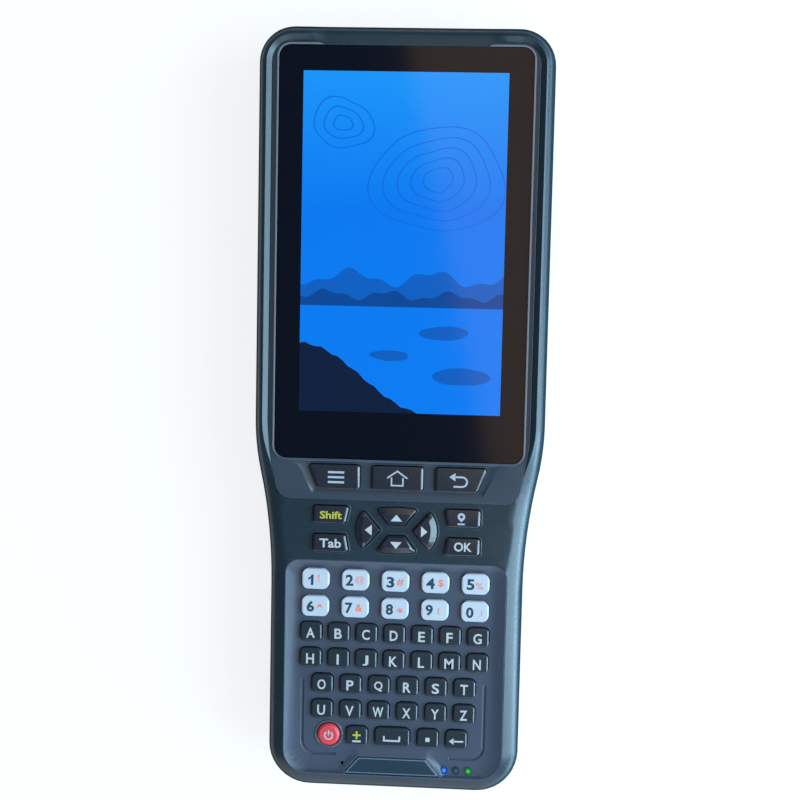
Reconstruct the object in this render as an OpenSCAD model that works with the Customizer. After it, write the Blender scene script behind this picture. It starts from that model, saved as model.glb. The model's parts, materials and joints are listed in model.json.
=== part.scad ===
// Rugged field data collector: a touch screen head over a keypad grip.
// It lies on its back. +X is right, +Y runs to the screen end and +Z comes
// out of the face. The origin is under the middle of the case.

/* [Case] */
// Thickness of the case, from its flat back to the crest of the rim
case_t = 30; // [28:0.5:34]
// Height of the joint between the rear and the front housing
split_z = 15; // [14.5:0.1:15.5]
// Wall of both housings
wall = 3.2; // [2.8:0.1:3.6]
// Wall of the flat back
back_wall = 2.4; // [2.2:0.1:3]
// Radius of the corners at the screen end
head_r = 10; // [8:0.5:13]
// Radius of the corners at the foot of the grip
foot_r = 12; // [10:0.5:14]
// Case between the screen end and the glass
top_rim = 5.4; // [5:0.1:7]
// Case between the side and the glass
side_rim = 6; // [5.4:0.1:8]
// Case between the side and the keypad tray
grip_rim = 4.6; // [4:0.1:7]
// Case between the foot and the keypad tray
foot_rim = 4.3; // [4:0.1:8]
// Length over which the head narrows to the grip
waist_l = 47; // [40:1:55]
// Start of the waist above the lower edge of the glass
waist_rise = 10.3; // [6:0.1:16]
// Share of the waist that bows outwards
waist_bow = 0.32; // [0.2:0.01:0.5]

/* [Rim and back] */
// Height of the rim's crest over the deck
rim_h = 1.2; // [0.6:0.1:1.8]
// Crest of the rim from the side, beside the screen
crest_in = 2.6; // [1.8:0.1:2.8]
// Crest of the shoulder from the side, beside the keypad
grip_crest_in = 5; // [3:0.1:5.2]
// Height of the rounded front shoulder under the crest
shoulder_h = 6; // [5:0.5:9]
// Tilt of the shoulder where it meets the crest
crest_tilt = 18; // [8:1:26]
// Half width of the level stretch of rim at the screen end
scoop_half = 22; // [16:0.5:24]
// Length over which the rim rises again beside the level stretch
scoop_rise = 6; // [4:0.5:8]
// Height of the rounded back edge
back_round_h = 9; // [7:0.5:11]
// Width of the rounded back edge
back_round_w = 7.2; // [5:0.1:8]

/* [Screen] */
// Glass beside the lit area
glass_side = 6.7; // [5:0.1:8]
// Glass below the lit area
glass_foot = 13.3; // [11:0.1:18]
// Thickness of the cover glass
glass_t = 1.2; // [0.9:0.1:1.5]
// Corner radius of the cover glass
glass_r = 3.2; // [2:0.1:5]
// Width of the display's lit area
lit_w = 56.2; // [54:0.1:58]
// Length of the display's lit area
lit_l = 93.6; // [90:0.1:96]
// Glass between its upper edge and the lit area
lit_top = 6.9; // [5:0.1:8]
// Frame of the display module around the lit area
module_frame = 2; // [1.5:0.1:2.4]
// Foot of the display module below the lit area
module_foot = 4.8; // [3:0.1:6]
// Thickness of the display module
module_t = 3.2; // [2.6:0.1:3.6]

/* [Bezel] */
// Bezel between its outer edge and the side of the glass
bezel_w = 1.8; // [1.6:0.1:2.6]
// Bezel between the glass and its upper edge
bezel_top_w = 0.9; // [0.7:0.1:1.2]
// Length of the bezel's lip below the glass
lip_l = 11.5; // [11:0.1:14]
// Radius of the lip's lower corners
lip_r = 4.5; // [3:0.1:6]
// Height of the bezel over the deck
bezel_h = 0.3; // [0.1:0.1:0.6]
// Width of the bead beside the glass
bead_w = 0.45; // [0.3:0.05:0.6]
// Height of the bead over the bezel
bead_h = 0.15; // [0.1:0.05:0.3]
// Depth of the recess around the function keys
recess_d = 0.6; // [0.4:0.1:0.8]

/* [Function and deck keys] */
// Function keys below the glass
function_top = 1.65; // [1.4:0.05:2]
// Width of the home key
home_w = 14.4; // [13:0.1:15]
// Width of the slanted menu and back keys, at the top
menu_w = 14.5; // [13:0.1:15]
// Gap between two function keys
function_gap = 3.4; // [3:0.1:4.5]
// Length of the function keys
function_l = 6.8; // [6:0.1:7.2]
// Slant of the menu and back keys' outer sides
function_slant = 2.8; // [1:0.1:4]
// Length of the deck that holds the cursor keys
deck_l = 17.5; // [16.5:0.1:22]
// Width of a deck key
side_key_w = 10; // [9:0.1:10.5]
// Length of a deck key
side_key_l = 4.9; // [4.4:0.1:5.6]
// Centre of the deck keys from the middle line
side_key_x = 18.4; // [18.2:0.1:19.6]
// Distance between the two rows of deck keys
side_key_pitch = 8.1; // [7.6:0.1:9]
// Slant of the deck keys' inner sides
side_key_slant = 1; // [0:0.1:1.5]
// Centre of the cursor keys below the bezel's lip
cursor_in = 8.3; // [8:0.1:10]
// Reach of the left and right cursor keys from the centre
cursor_x = 11.4; // [10.8:0.1:11.6]
// Reach of the up and down cursor keys from the centre
cursor_y = 6.5; // [6:0.1:6.9]

// Half width of the up and down cursor keys at their outer sides
up_half = 5.7; // [5:0.1:5.9]
// Half width of the up and down cursor keys at their tips
up_tip_half = 2.4; // [1.8:0.1:2.6]
// Tips of the up and down cursor keys from the centre
up_tip = 1.55; // [1.4:0.05:2]
// Half width of the left and right cursor keys
left_half = 5.5; // [4.8:0.1:5.7]
// Tips of the left and right cursor keys from the centre
left_tip = 4.5; // [4.3:0.1:5]
// Bow of the left and right cursor keys' outer sides
left_bow = 2; // [1.5:0.1:2.2]
// Bow of the up and down cursor keys' outer sides
up_bow = 0.45; // [0.3:0.05:0.6]
// Width of the bevel round the function and deck keys
bevel_w = 0.45; // [0.35:0.05:0.8]
// Height of that bevel
bevel_h = 0.3; // [0.2:0.05:0.6]
// Width of the band that rolls off along the cursor keys' bowed sides
cursor_roll = 1.7; // [0.7:0.1:2]
// Height of that band
cursor_drop = 0.6; // [0.3:0.1:0.7]

/* [Keypad] */
// Width of a digit key
digit_w = 7.9; // [7:0.1:8.4]
// Length of a digit key
digit_l = 6.05; // [5.4:0.05:6.2]
// Corner radius of a digit key
digit_r = 2.3; // [1.5:0.1:2.6]
// Distance between digit keys
digit_pitch = 11.3; // [10.6:0.1:11.6]
// Width of a letter key
letter_w = 6.15; // [5.6:0.05:6.3]
// Length of a letter key
letter_l = 5.5; // [5:0.1:5.8]
// Corner radius of a letter key
letter_r = 1.6; // [1:0.1:2.2]
// Distance between letter keys in the rows of seven
letter_pitch = 7.9; // [7.75:0.05:8.2]
// Distance between letter keys in the rows of six
six_pitch = 8.1; // [7.8:0.05:9]
// Diameter of the power key
power_d = 6.3; // [5.6:0.1:6.6]
// Width of the space key
space_w = 10; // [8:0.1:10.6]
// Distance between the two rows of digits
digit_row_pitch = 7.85; // [7.7:0.05:8.6]
// Distance between the other rows
row_pitch = 7.47; // [7.3:0.01:8.4]
// First row of keys from the tray's upper edge
first_row = 5.5; // [5.3:0.1:7]
// Tray below the last row of keys
tray_foot = 11.6; // [11.4:0.1:14]
// Tray beside the widest row of keys
tray_side = 4.5; // [4.2:0.1:6]
// Width of the tray's sloping sides
tray_slope = 2.7; // [1.5:0.1:3]
// Depth of the tray under the deck
tray_d = 1.2; // [0.8:0.1:1.5]
// Corner radius of the tray at the deck
tray_r = 4.2; // [3:0.1:5]
// Corner radius of the tray at the foot
tray_foot_r = 7; // [5:0.1:8]

/* [Tray trim] */
// Half width of the nameplate at the foot of the tray
plate_foot_half = 14; // [12:0.1:14.2]
// Half width of the nameplate at its upper edge
plate_top_half = 9.6; // [8:0.1:11]
// Length of the nameplate
plate_l = 5.1; // [4.4:0.1:5.4]
// Radius of the nameplate's corners
plate_r = 0.5; // [0.4:0.1:1.2]
// Height of the nameplate over its mound
plate_proud = 0.2; // [0.1:0.05:0.3]
// Bevel round the nameplate's top
plate_bevel = 0.3; // [0.2:0.05:0.4]
// Height of the mound under the nameplate
mound_h = 0.8; // [0.5:0.1:0.9]
// Width of the groove round the lower rows
bracket_w = 0.6; // [0.3:0.1:0.8]
// Groove from the side of the tray
bracket_in = 5.3; // [4.8:0.1:6]
// Depth of that groove
bracket_d = 0.45; // [0.2:0.05:0.5]
// Foot of that groove below the middle of the last row
bracket_drop = 5.9; // [5:0.1:6.2]
// End of that groove from the middle line
bracket_end = 16.3; // [15:0.1:18]
// Radius of a status light
light_r = 0.85; // [0.7:0.05:1]
// First status light from the middle line
light_x = 15; // [14.6:0.1:16]
// Distance between the status lights
light_pitch = 3.45; // [3:0.05:3.6]
// Diameter of the microphone hole
mic_d = 1; // [0.8:0.1:1.4]

/* [Key action] */
// Height of a key over the surface around it
key_rise = 1.15; // [1:0.05:1.5]
// Gap between a key and its aperture
key_gap = 0.24; // [0.15:0.01:0.25]
// Travel of a key
key_travel = 0.8; // [0.5:0.05:0.9]
// Width of the flange that keeps a key in, beyond its aperture
flange_w = 0.4; // [0.3:0.02:0.44]
// Thickness of that flange
flange_t = 0.8; // [0.6:0.05:1]
// Rounding of the keys' upper edges
key_edge = 0.6; // [0.3:0.05:0.8]
// Diameter of the humps of the keypad mat
hump_d = 4.2; // [3.8:0.1:4.4]

/* [Inside] */
// Thickness of the circuit board
board_t = 1.2; // [1:0.1:1.6]
// Thickness of the mat between its humps
mat_t = 0.8; // [0.6:0.1:1]
// Width of the battery pack
battery_w = 48; // [44:1:48]
// Length of the battery pack
battery_l = 82; // [70:1:84]
// Thickness of the battery pack
battery_t = 11.6; // [9:0.1:12]
// Thickness of the battery cover
cover_t = 2; // [1.6:0.1:2.4]
// Width of the case seal
seal_w = 1; // [0.8:0.1:1.2]
// Diameter of the case screws
screw_d = 2.5; // [2:0.1:3]
// Diameter of their heads
screw_head_d = 4.6; // [4:0.1:4.8]
// Diameter of the bosses that the case screws hold
boss_d = 5.2; // [4.8:0.1:5.4]
// Wall of the battery bay
bay_wall = 1.6; // [1.2:0.1:2]
// Reach of the battery cover past the battery, for its screws
cover_lip = 5; // [4.6:0.1:5.4]
// Length of the cover screws below the cover
cover_screw_l = 5; // [4:0.5:7]
// Diameter of the rear camera
camera_d = 9; // [7:0.5:11]
// Rear camera from the screen end
camera_in = 21.4; // [18:0.1:24]
// Width of the charging port
port_w = 10.6; // [10:0.1:11.4]
// Height of the charging port
port_h = 5; // [4.6:0.1:5.2]
// Width of the port's cover
flap_w = 15; // [14:0.5:18]
// Thickness of the port's cover
flap_t = 1.4; // [1.2:0.1:1.5]
// Width of the charging socket
socket_w = 9; // [8.6:0.1:9.4]
// Length of the charging socket
socket_l = 7.4; // [7:0.1:9]
// Height of the charging socket
socket_h = 3.3; // [3:0.1:3.4]
// Width of the board's screening can
can_w = 36; // [30:1:44]
// Length of the board's screening can
can_l = 30; // [24:1:40]
// Height of the board's screening can
can_h = 2; // [1.5:0.1:2.5]

/* [Hidden] */
$fn = 48;
FIT = 0.1;       // play of a fixed piece in its seat
RUN = 0.05;      // play of a screw in its hole
SKIN = 0.01;     // overrun of a cut past the face it opens

// heights
deck_z = case_t - rim_h;
under_z = deck_z - 2.8;             // underside of the front wall
glass_z = deck_z - glass_t;         // seat of the glass
bezel_seat_z = deck_z - 1.8;
bezel_z = deck_z + bezel_h;
recess_z = bezel_z - recess_d;
tray_z = deck_z - tray_d;
tray_seat_z = under_z + 0.8;
flange_z = under_z - RUN - flange_t;
board_z = flange_z - mat_t - key_travel - 1.5;   // upper face of the board
side_z = case_t - shoulder_h;

// widths and lengths
glass_w = lit_w + 2 * glass_side;
glass_l = lit_top + lit_l + glass_foot;
seven_w = 6 * letter_pitch + letter_w;
six_w = 5 * six_pitch + letter_w;
digits_w = 4 * digit_pitch + digit_w;
rows_w = max(seven_w, six_w, digits_w);
tray_w = rows_w + 2 * tray_side;
last_row = first_row + digit_row_pitch + 5 * row_pitch;
tray_l = last_row + tray_foot;
head_half = glass_w / 2 + side_rim;
grip_half = tray_w / 2 + grip_rim;
case_l = top_rim + glass_l + lip_l + deck_l + tray_l + foot_rim;

// places along the case
end_y = case_l / 2;
glass_top_y = end_y - top_rim;
glass_foot_y = glass_top_y - glass_l;
glass_y = (glass_top_y + glass_foot_y) / 2;
lip_y = glass_foot_y - lip_l;
tray_top_y = lip_y - deck_l;
tray_foot_y = tray_top_y - tray_l;
function_y = glass_foot_y - function_top - function_l / 2;
cursor_cy = lip_y - cursor_in;
lit_y = glass_top_y - lit_top - lit_l / 2;
waist_y = glass_foot_y + waist_rise;

// the waist: a bow outwards and a bow inwards that meet at one slope
waist_step = head_half - grip_half;
waist_turn = 2 * atan(waist_step / waist_l);
waist_radii = waist_l / sin(waist_turn);
bow_r = waist_bow * waist_radii;
hollow_r = waist_radii - bow_r;

// ---- outline of the case -------------------------------------------------

function smooth(t) = let (u = min(1, max(0, t))) u * u * (3 - 2 * u);
function mix(a, b, t) = a + (b - a) * t;

// one point of the outline and its outward normal, on an arc
function on_arc(cx, cy, r, angle, side = 1) =
    [cx + r * cos(angle), cy + r * sin(angle), side * cos(angle), side * sin(angle)];

// the right half, from the middle of the screen end round to the foot
right_half = concat(
    [for (x = [0, scoop_half / 2, for (i = [0:4]) scoop_half + i * scoop_rise / 4])
        [x, end_y, 0, 1]],
    [for (a = [90:-9:0]) on_arc(head_half - head_r, end_y - head_r, head_r, a)],
    [for (t = [0.33, 0.66])
        [head_half, mix(end_y - head_r, waist_y, t), 1, 0]],
    [for (i = [0:5]) on_arc(head_half - bow_r, waist_y, bow_r, -i * waist_turn / 5)],
    [for (i = [1:8])
        on_arc(grip_half + hollow_r, waist_y - waist_l, hollow_r,
               180 - waist_turn + i * waist_turn / 8, -1)],
    [for (a = [0:-9:-90])
        on_arc(grip_half - foot_r, -end_y + foot_r, foot_r, a)],
    [[0, -end_y, 0, -1]]);

case_ring = concat(right_half,
    [for (i = [len(right_half) - 2:-1:1])
        let (p = right_half[i]) [-p[0], p[1], -p[2], p[3]]]);

// the outline moved inwards by a constant distance
function inset(d) = [for (p = case_ring) [p[0] - d * p[2], p[1] - d * p[3]]];

// 1 beside the screen, 0 beside the keypad
function head_share(p) = smooth((p[1] - (waist_y - waist_l / 2)) / (waist_l / 2));
// 0 in the level stretch at the screen end, 1 beside it
function rim_share(p) =
    p[3] < 0.999 ? 1 : smooth((abs(p[0]) - scoop_half) / scoop_rise);

joint_draft = 0.5;
side_draft = 0.8;
slope_w = side_rim - bezel_w - crest_in;

// sections at one point of the outline: distances inwards and heights
function front_section(p) =
    let (share = head_share(p), crest = mix(grip_crest_in, crest_in, share),
         top = deck_z + rim_h * share * rim_share(p),
         bend = top - crest * tan(crest_tilt))
    concat([[joint_draft, split_z]],
           [for (t = [0:1/6:1])
               [crest * t * t, mix(mix(side_z, bend, t), mix(bend, top, t), t)]],
           [[crest + slope_w, deck_z]]);

function back_section(p) =
    concat([for (t = [90:-18:0])
               [side_draft + back_round_w * (1 - cos(t)), back_round_h * (1 - sin(t))]],
           [[joint_draft, split_z]]);

// rings of a loft, from low to high, from the sections round the outline
function rings(sections) =
    [for (j = [0:len(sections[0]) - 1]) [for (i = [0:len(case_ring) - 1])
        let (p = case_ring[i], s = sections[i][j])
        [p[0] - s[0] * p[2], p[1] - s[0] * p[3], s[1]]]];

// triangles between rings of n points, and fans that close the two ends
function loft_faces(n, count) = concat(
    [for (j = [0:count - 2], i = [0:n - 1])
        let (a = j * n + i, b = j * n + (i + 1) % n)
        each [[a, b, b + n], [a, b + n, a + n]]],
    [for (i = [0:n - 1]) [count * n, (i + 1) % n, i]],
    [for (i = [0:n - 1])
        [count * n + 1, (count - 1) * n + i, (count - 1) * n + (i + 1) % n]]);

module loft(sections) {
    r = rings(sections);
    count = len(r);
    polyhedron(points = concat([for (ring = r) each ring],
                               [[0, 0, r[0][0][2]], [0, 0, r[count - 1][0][2]]]),
               faces = loft_faces(len(case_ring), count), convexity = 6);
}

module prism(z0, z1) {
    translate([0, 0, z0]) linear_extrude(z1 - z0) children();
}

module both_sides() {
    children();
    mirror([1, 0, 0]) children();
}

// ---- keys ----------------------------------------------------------------

// a rounded rectangle with true arcs
module rounded_rect(w, l, r) {
    square([w - 2 * r, l], center = true);
    square([w, l - 2 * r], center = true);
    for (x = [-1, 1], y = [-1, 1])
        translate([x * (w / 2 - r), y * (l / 2 - r)]) circle(r);
}

// corners of the shaped keys, round their own centre
menu_points = [[-menu_w / 2, function_l / 2], [menu_w / 2, function_l / 2],
               [menu_w / 2, -function_l / 2],
               [-menu_w / 2 + function_slant, -function_l / 2]];
shift_points = [[-side_key_w / 2, side_key_l / 2], [side_key_w / 2, side_key_l / 2],
                [side_key_w / 2 - side_key_slant, -side_key_l / 2],
                [-side_key_w / 2, -side_key_l / 2]];

// cursor keys: two straight sides and a bowed outer side
function bowed(half, reach, sag, tip_half, tip) =
    let (r = (half * half + sag * sag) / (2 * sag), turn = asin(half / r))
    concat([for (i = [-4:4])
                [r * sin(i * turn / 4), reach - r + r * cos(i * turn / 4)]],
           tip_half > 0 ? [[tip_half, tip], [-tip_half, tip]] : [[0, tip]]);
up_points = bowed(up_half, cursor_y, up_bow, up_tip_half, up_tip);
left_points = bowed(left_half, cursor_x, left_bow, 0, left_tip);

function mirror_x(pts) = [for (p = pts) [-p[0], p[1]]];
function mirror_y(pts) = [for (p = pts) [p[0], -p[1]]];
function quarter_turn(pts) = [for (p = pts) [-p[1], p[0]]];

// each key: name, centre, width and length, corner radius, height of the
// surface around it, corners of a shaped key, centre of its hump
function plain_key(name, x, y, w, l, r) = [name, [x, y], [w, l], r, tray_z, [], [x, y]];
function shaped_key(name, x, y, r, z, pts, hump = [0, 0]) =
    [name, [x, y], [0, 0], r, z, pts, [x + hump[0], y + hump[1]]];

function_x = home_w / 2 + function_gap + menu_w / 2;
function_keys = [
    shaped_key("key_menu", -function_x, function_y, 0.8, recess_z, menu_points),
    ["key_home", [0, function_y], [home_w, function_l], 0.8, recess_z, [], [0, function_y]],
    shaped_key("key_back", function_x, function_y, 0.8, recess_z, mirror_x(menu_points))];

side_y = side_key_pitch / 2;
deck_keys = [
    shaped_key("key_shift", -side_key_x, cursor_cy + side_y, 0.8, deck_z, shift_points),
    shaped_key("key_tab", -side_key_x, cursor_cy - side_y, 0.8, deck_z,
               mirror_y(shift_points)),
    shaped_key("key_locate", side_key_x, cursor_cy + side_y, 0.8, deck_z,
               mirror_x(shift_points)),
    shaped_key("key_ok", side_key_x, cursor_cy - side_y, 0.8, deck_z,
               mirror_x(mirror_y(shift_points))),
    shaped_key("key_up", 0, cursor_cy, 0.5, deck_z, up_points, [0, 4]),
    shaped_key("key_down", 0, cursor_cy, 0.5, deck_z, mirror_y(up_points), [0, -4]),
    shaped_key("key_left", 0, cursor_cy, 0.5, deck_z, quarter_turn(left_points),
               [-8, 0]),
    shaped_key("key_right", 0, cursor_cy, 0.5, deck_z,
               mirror_x(quarter_turn(left_points)), [8, 0])];

function row_y(n) = tray_top_y - first_row
    - (n == 0 ? 0 : digit_row_pitch + (n - 1) * row_pitch);

digit_names = [["1", "2", "3", "4", "5"], ["6", "7", "8", "9", "0"]];
digit_keys = [for (n = [0, 1], i = [0:4])
    plain_key(str("key_", digit_names[n][i]), (i - 2) * digit_pitch, row_y(n),
              digit_w, digit_l, digit_r)];

function letter_row(letters, n, pitch) = [for (i = [0:len(letters) - 1])
    plain_key(str("key_", letters[i]), (i - (len(letters) - 1) / 2) * pitch, row_y(n),
              letter_w, letter_l, letter_r)];
letter_keys = concat(letter_row("abcdefg", 2, letter_pitch),
                     letter_row("hijklmn", 3, letter_pitch));
o_to_t = letter_row("opqrst", 4, six_pitch);
u_to_z = letter_row("uvwxyz", 5, six_pitch);

bottom_x = 1.25 * six_pitch;
end_x = bottom_x + six_pitch;
bottom_keys = [
    plain_key("key_power", -end_x, row_y(6), power_d, power_d, power_d / 2),
    plain_key("key_plus_minus", -bottom_x, row_y(6), letter_w, letter_l, letter_r),
    plain_key("key_space", 0, row_y(6), space_w, letter_l, letter_r),
    plain_key("key_point", bottom_x, row_y(6), letter_w, letter_l, letter_r),
    plain_key("key_erase", end_x, row_y(6), letter_w, letter_l, letter_r)];

tray_keys = concat(digit_keys, letter_keys, o_to_t, u_to_z, bottom_keys);
all_keys = concat(function_keys, deck_keys, tray_keys);
single_keys = concat(function_keys, deck_keys, digit_keys, letter_keys, bottom_keys);

// outline of a key, grown by g
module key_outline(k, g = 0) {
    translate(k[1])
        if (len(k[5]) > 0)
            offset(r = k[3] + g, $fn = 24) offset(delta = -k[3]) polygon(k[5]);
        else if (k[3] * 2 == k[2][0])
            circle(k[3] + g);
        else
            rounded_rect(k[2][0] + 2 * g, k[2][1] + 2 * g, k[3] + g);
}

// shift of a cursor key's flat top towards the middle of the four
function roll_off(to) = (bevel_w - cursor_roll) * [sign(to[0]), sign(to[1])];

// cap of a key, from its flange to its top, with softened upper edges
module key_cap(k) {
    top = k[4] + key_rise;
    cap_h = top - flange_z;
    if (k[4] > tray_z)
        hull() {
            prism(flange_z, top - (k[6] == k[1] ? bevel_h : cursor_drop)) key_outline(k);
            prism(flange_z, top) intersection() {
                key_outline(k, -bevel_w);
                translate(roll_off(k[6] - k[1])) key_outline(k, -bevel_w);
            }
        }
    else if (k[3] * 2 == k[2][0])
        translate([k[1][0], k[1][1], 0]) {
            prism(flange_z, top - key_edge) circle(k[3]);
            translate([0, 0, top - key_edge]) cylinder(key_edge, k[3], k[3] - key_edge);
        }
    else
        intersection() {
            prism(flange_z, top) key_outline(k);
            translate([k[1][0], k[1][1], flange_z]) rotate([90, 0, 0])
                linear_extrude(2 * k[2][1], center = true)
                    rounded_rect(k[2][0] + SKIN, 2 * cap_h, key_edge);
            translate([k[1][0], k[1][1], flange_z]) rotate([90, 0, 90])
                linear_extrude(2 * k[2][0], center = true)
                    rounded_rect(k[2][1] + SKIN, 2 * cap_h, key_edge);
        }
}

module key(k) {
    color(key_colour(k)) {
        key_cap(k);
        prism(flange_z, flange_z + flange_t) key_outline(k, key_gap + flange_w);
    }
}

function key_colour(k) =
    len([for (d = digit_keys) if (d[0] == k[0]) d]) > 0 ? "lightskyblue" :
    k[0] == "key_power" ? "crimson" : "dimgray";

module key_row(keys) {
    for (k = keys) key(k);
}

module apertures(keys, z0, z1, g = key_gap) {
    for (k = keys) prism(z0, z1) key_outline(k, g);
}

// ---- outlines shared by neighbours ---------------------------------------

// rounded rectangle from y0 to y1, with its own radius at each end
module end_rounded(w, y0, y1, r0, r1) {
    translate([-w / 2, y0 + r0]) square([w, y1 - r1 - y0 - r0]);
    translate([-w / 2 + r0, y0]) square([w - 2 * r0, r0 + SKIN]);
    translate([-w / 2 + r1, y1 - r1 - SKIN]) square([w - 2 * r1, r1 + SKIN]);
    for (x = [-1, 1]) {
        translate([x * (w / 2 - r0), y0 + r0]) circle(r0);
        translate([x * (w / 2 - r1), y1 - r1]) circle(r1);
    }
}

module glass_plan(g = 0) {
    translate([0, glass_y]) rounded_rect(glass_w + 2 * g, glass_l + 2 * g, glass_r + g);
}

bezel_in = side_rim - bezel_w;
scoop_gap = scoop_half + scoop_rise / 2;
// the frame round the glass and its lip, open at the level stretch of the rim
module bezel_plan(g = 0) {
    offset(delta = g) difference() {
        offset(r = lip_r, $fn = 40) offset(delta = -lip_r) intersection() {
            polygon(inset(bezel_in));
            translate([-head_half, lip_y])
                square([2 * head_half, glass_top_y + bezel_top_w - lip_y]);
        }
        glass_plan(FIT);
        polygon([[-scoop_half, glass_top_y - 1], [scoop_half, glass_top_y - 1],
                 [scoop_half, glass_top_y], [scoop_gap, glass_top_y + 1.2],
                 [-scoop_gap, glass_top_y + 1.2], [-scoop_half, glass_top_y]]);
    }
}

// the slanted recess of the function keys, at its floor or moved out by g
recess_half = function_x + menu_w / 2 + 1.6;
module recess_plan(g) {
    slant = 0.45 * (function_l + 2 * g);
    y0 = function_y - function_l / 2 - 0.5 - g / 2;
    y1 = function_y + function_l / 2 + 0.4 + g / 4;
    offset(r = 0.8, $fn = 16) offset(delta = -0.8)
        polygon([[-recess_half - g, y1], [recess_half + g, y1],
                 [recess_half + g - slant, y0], [-recess_half - g + slant, y0]]);
}

module tray_plan(g = 0) {
    end_rounded(tray_w + 2 * g, tray_foot_y - g, tray_top_y + g,
                tray_foot_r + g, tray_r + g);
}

module tray_floor_plan() {
    end_rounded(tray_w - 2 * tray_slope, tray_foot_y + tray_slope / 3,
                tray_top_y - tray_slope * 0.8, tray_foot_r - tray_slope / 2,
                tray_r - tray_slope / 2);
}

ledge_w = 1.6;

// the nameplate: a trapezoid with its long side at the foot of the tray
plate_foot_y = tray_foot_y + 0.4;
module plate_plan(g = 0) {
    offset(r = plate_r + g, $fn = 24) offset(delta = -plate_r)
        polygon([[-plate_foot_half, plate_foot_y], [plate_foot_half, plate_foot_y],
                 [plate_top_half, plate_foot_y + plate_l],
                 [-plate_top_half, plate_foot_y + plate_l]]);
}
mound_z = tray_z + mound_h;

lights_y = tray_foot_y + 2.3;
module light_plan(g = 0) {
    for (i = [0:2]) translate([light_x + i * light_pitch, lights_y]) rotate(18) {
        square([2 * (light_r + g), 0.7], center = true);
        for (y = [-0.35, 0.35]) translate([0, y]) circle(light_r + g);
    }
}
mic_x = 14.3;
mic_y = tray_foot_y + 3.2;

// display module, hung under the glass
module_w = lit_w + 2 * module_frame;
module_y0 = lit_y - lit_l / 2 - module_foot;
module_y1 = lit_y + lit_l / 2 + module_frame;
module display_plan(g = 0) {
    translate([-module_w / 2 - g, module_y0 - g])
        square([module_w + 2 * g, module_y1 - module_y0 + 2 * g]);
}

// case screws: two by two along the case
screw_head_h = 2;
screw_seat_z = 3.4;
screw_tip_z = under_z - 2;
boss_in = wall + boss_d / 2 + 0.1;
head_screw_x = head_half - boss_in;
corner_in = (head_r - boss_in) * 0.7;
foot_in = (foot_r - boss_in) * 0.7;
screw_places = [[head_half - head_r + corner_in, end_y - head_r + corner_in],
                [head_screw_x, mix(waist_y, end_y - head_r, 0.2)],
                [grip_half - boss_in, waist_y - waist_l - 2],
                [grip_half - foot_r + foot_in, -end_y + foot_r - foot_in]];

module at_screws() {
    both_sides() for (p = screw_places) translate(p) children();
}

// battery bay, open at the back
bay_y = (mix(waist_y, tray_foot_y, 0.5));
bay_z = cover_t + battery_t + 0.5;
bay_screw_x = battery_w / 2 - 5;
bay_screw_y = battery_l / 2 + cover_lip / 2 + 1.2;
module bay_plan(g = 0) {
    translate([0, bay_y])
        rounded_rect(battery_w + 2 * g, battery_l + 2 * g, 3 + g);
}
module cover_plan(g = 0) {
    translate([0, bay_y])
        rounded_rect(battery_w + 4 + 2 * g, battery_l + 4 + 2 * cover_lip + 2 * g, 4 + g);
}
module at_cover_screws() {
    both_sides() for (s = [-1, 1]) translate([bay_screw_x, bay_y + s * bay_screw_y])
        children();
}

// rear camera
camera_y = end_y - camera_in;
camera_l = 6;

// charging port at the foot, and its cover
port_z = board_z - board_t - 1.7;
hinge_z = port_z - port_h / 2 - 0.1;
hinge_r = 0.7;
hinge_y = -end_y + hinge_r;
cover_top_z = port_z + port_h / 2 + 1.2;

seal_in = (wall + joint_draft - seal_w) / 2;
seal_h = 1.2;

// ---- housings ------------------------------------------------------------

// cavity of the rear housing, stepped behind the rounded back edge
module back_cavity() {
    for (step = [[1 / 2, 0], [1 / 6, 0.3], [0, 0.6]])
        prism(back_wall + step[1] * back_round_h, split_z + SKIN)
            polygon(inset(wall + step[0] * back_round_w));
}

module seal_ring(z0, z1, g = 0) {
    prism(z0, z1) difference() {
        polygon(inset(seal_in - g));
        polygon(inset(seal_in + seal_w + g));
    }
}

module rim_lines() {
    for (k = deck_keys)
        prism(deck_z - SKIN, deck_z + 0.12) difference() {
            key_outline(k, key_gap + 0.35);
            key_outline(k, key_gap);
        }
}

module front_housing() {
    color("darkslategray") {
        difference() {
            loft([for (p = case_ring) front_section(p)]);
            difference() {
                prism(split_z - SKIN, under_z) polygon(inset(wall));
                at_screws() translate([0, 0, split_z]) cylinder(case_t, d = boss_d);
                board_posts(board_z, under_z + SKIN);
            }
            prism(glass_z, case_t) glass_plan(FIT);
            prism(bezel_seat_z, case_t) bezel_plan(FIT);
            prism(under_z - SKIN, case_t) display_plan(FIT);
            prism(tray_seat_z, case_t) tray_plan(FIT);
            prism(under_z - SKIN, case_t) tray_plan(-ledge_w);
            apertures(concat(function_keys, deck_keys), under_z - SKIN, case_t);
            prism(under_z - SKIN, case_t) light_plan(0.3);
            seal_ring(split_z - SKIN, split_z + seal_h / 2);
            at_screws() translate([0, 0, split_z - SKIN])
                cylinder(screw_tip_z - split_z + 0.5, d = screw_d + 2 * RUN);
            port_opening();
        }
        rim_lines();
    }
}

// posts that hold the circuit board between the housings
module board_posts(z0, z1) {
    both_sides() translate([module_w / 2 - 8, glass_foot_y + 3.4, z0])
        cylinder(z1 - z0, d = 4);
}

module port_opening() {
    translate([-port_w / 2, -end_y - 1, port_z - port_h / 2])
        cube([port_w, wall + 2, port_h]);
    translate([-flap_w / 2 - 0.2, -end_y - 1, hinge_z - hinge_r - 0.2])
        cube([flap_w + 0.4, 1 + flap_t + 0.2, cover_top_z - hinge_z + hinge_r + 0.4]);
}

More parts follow.
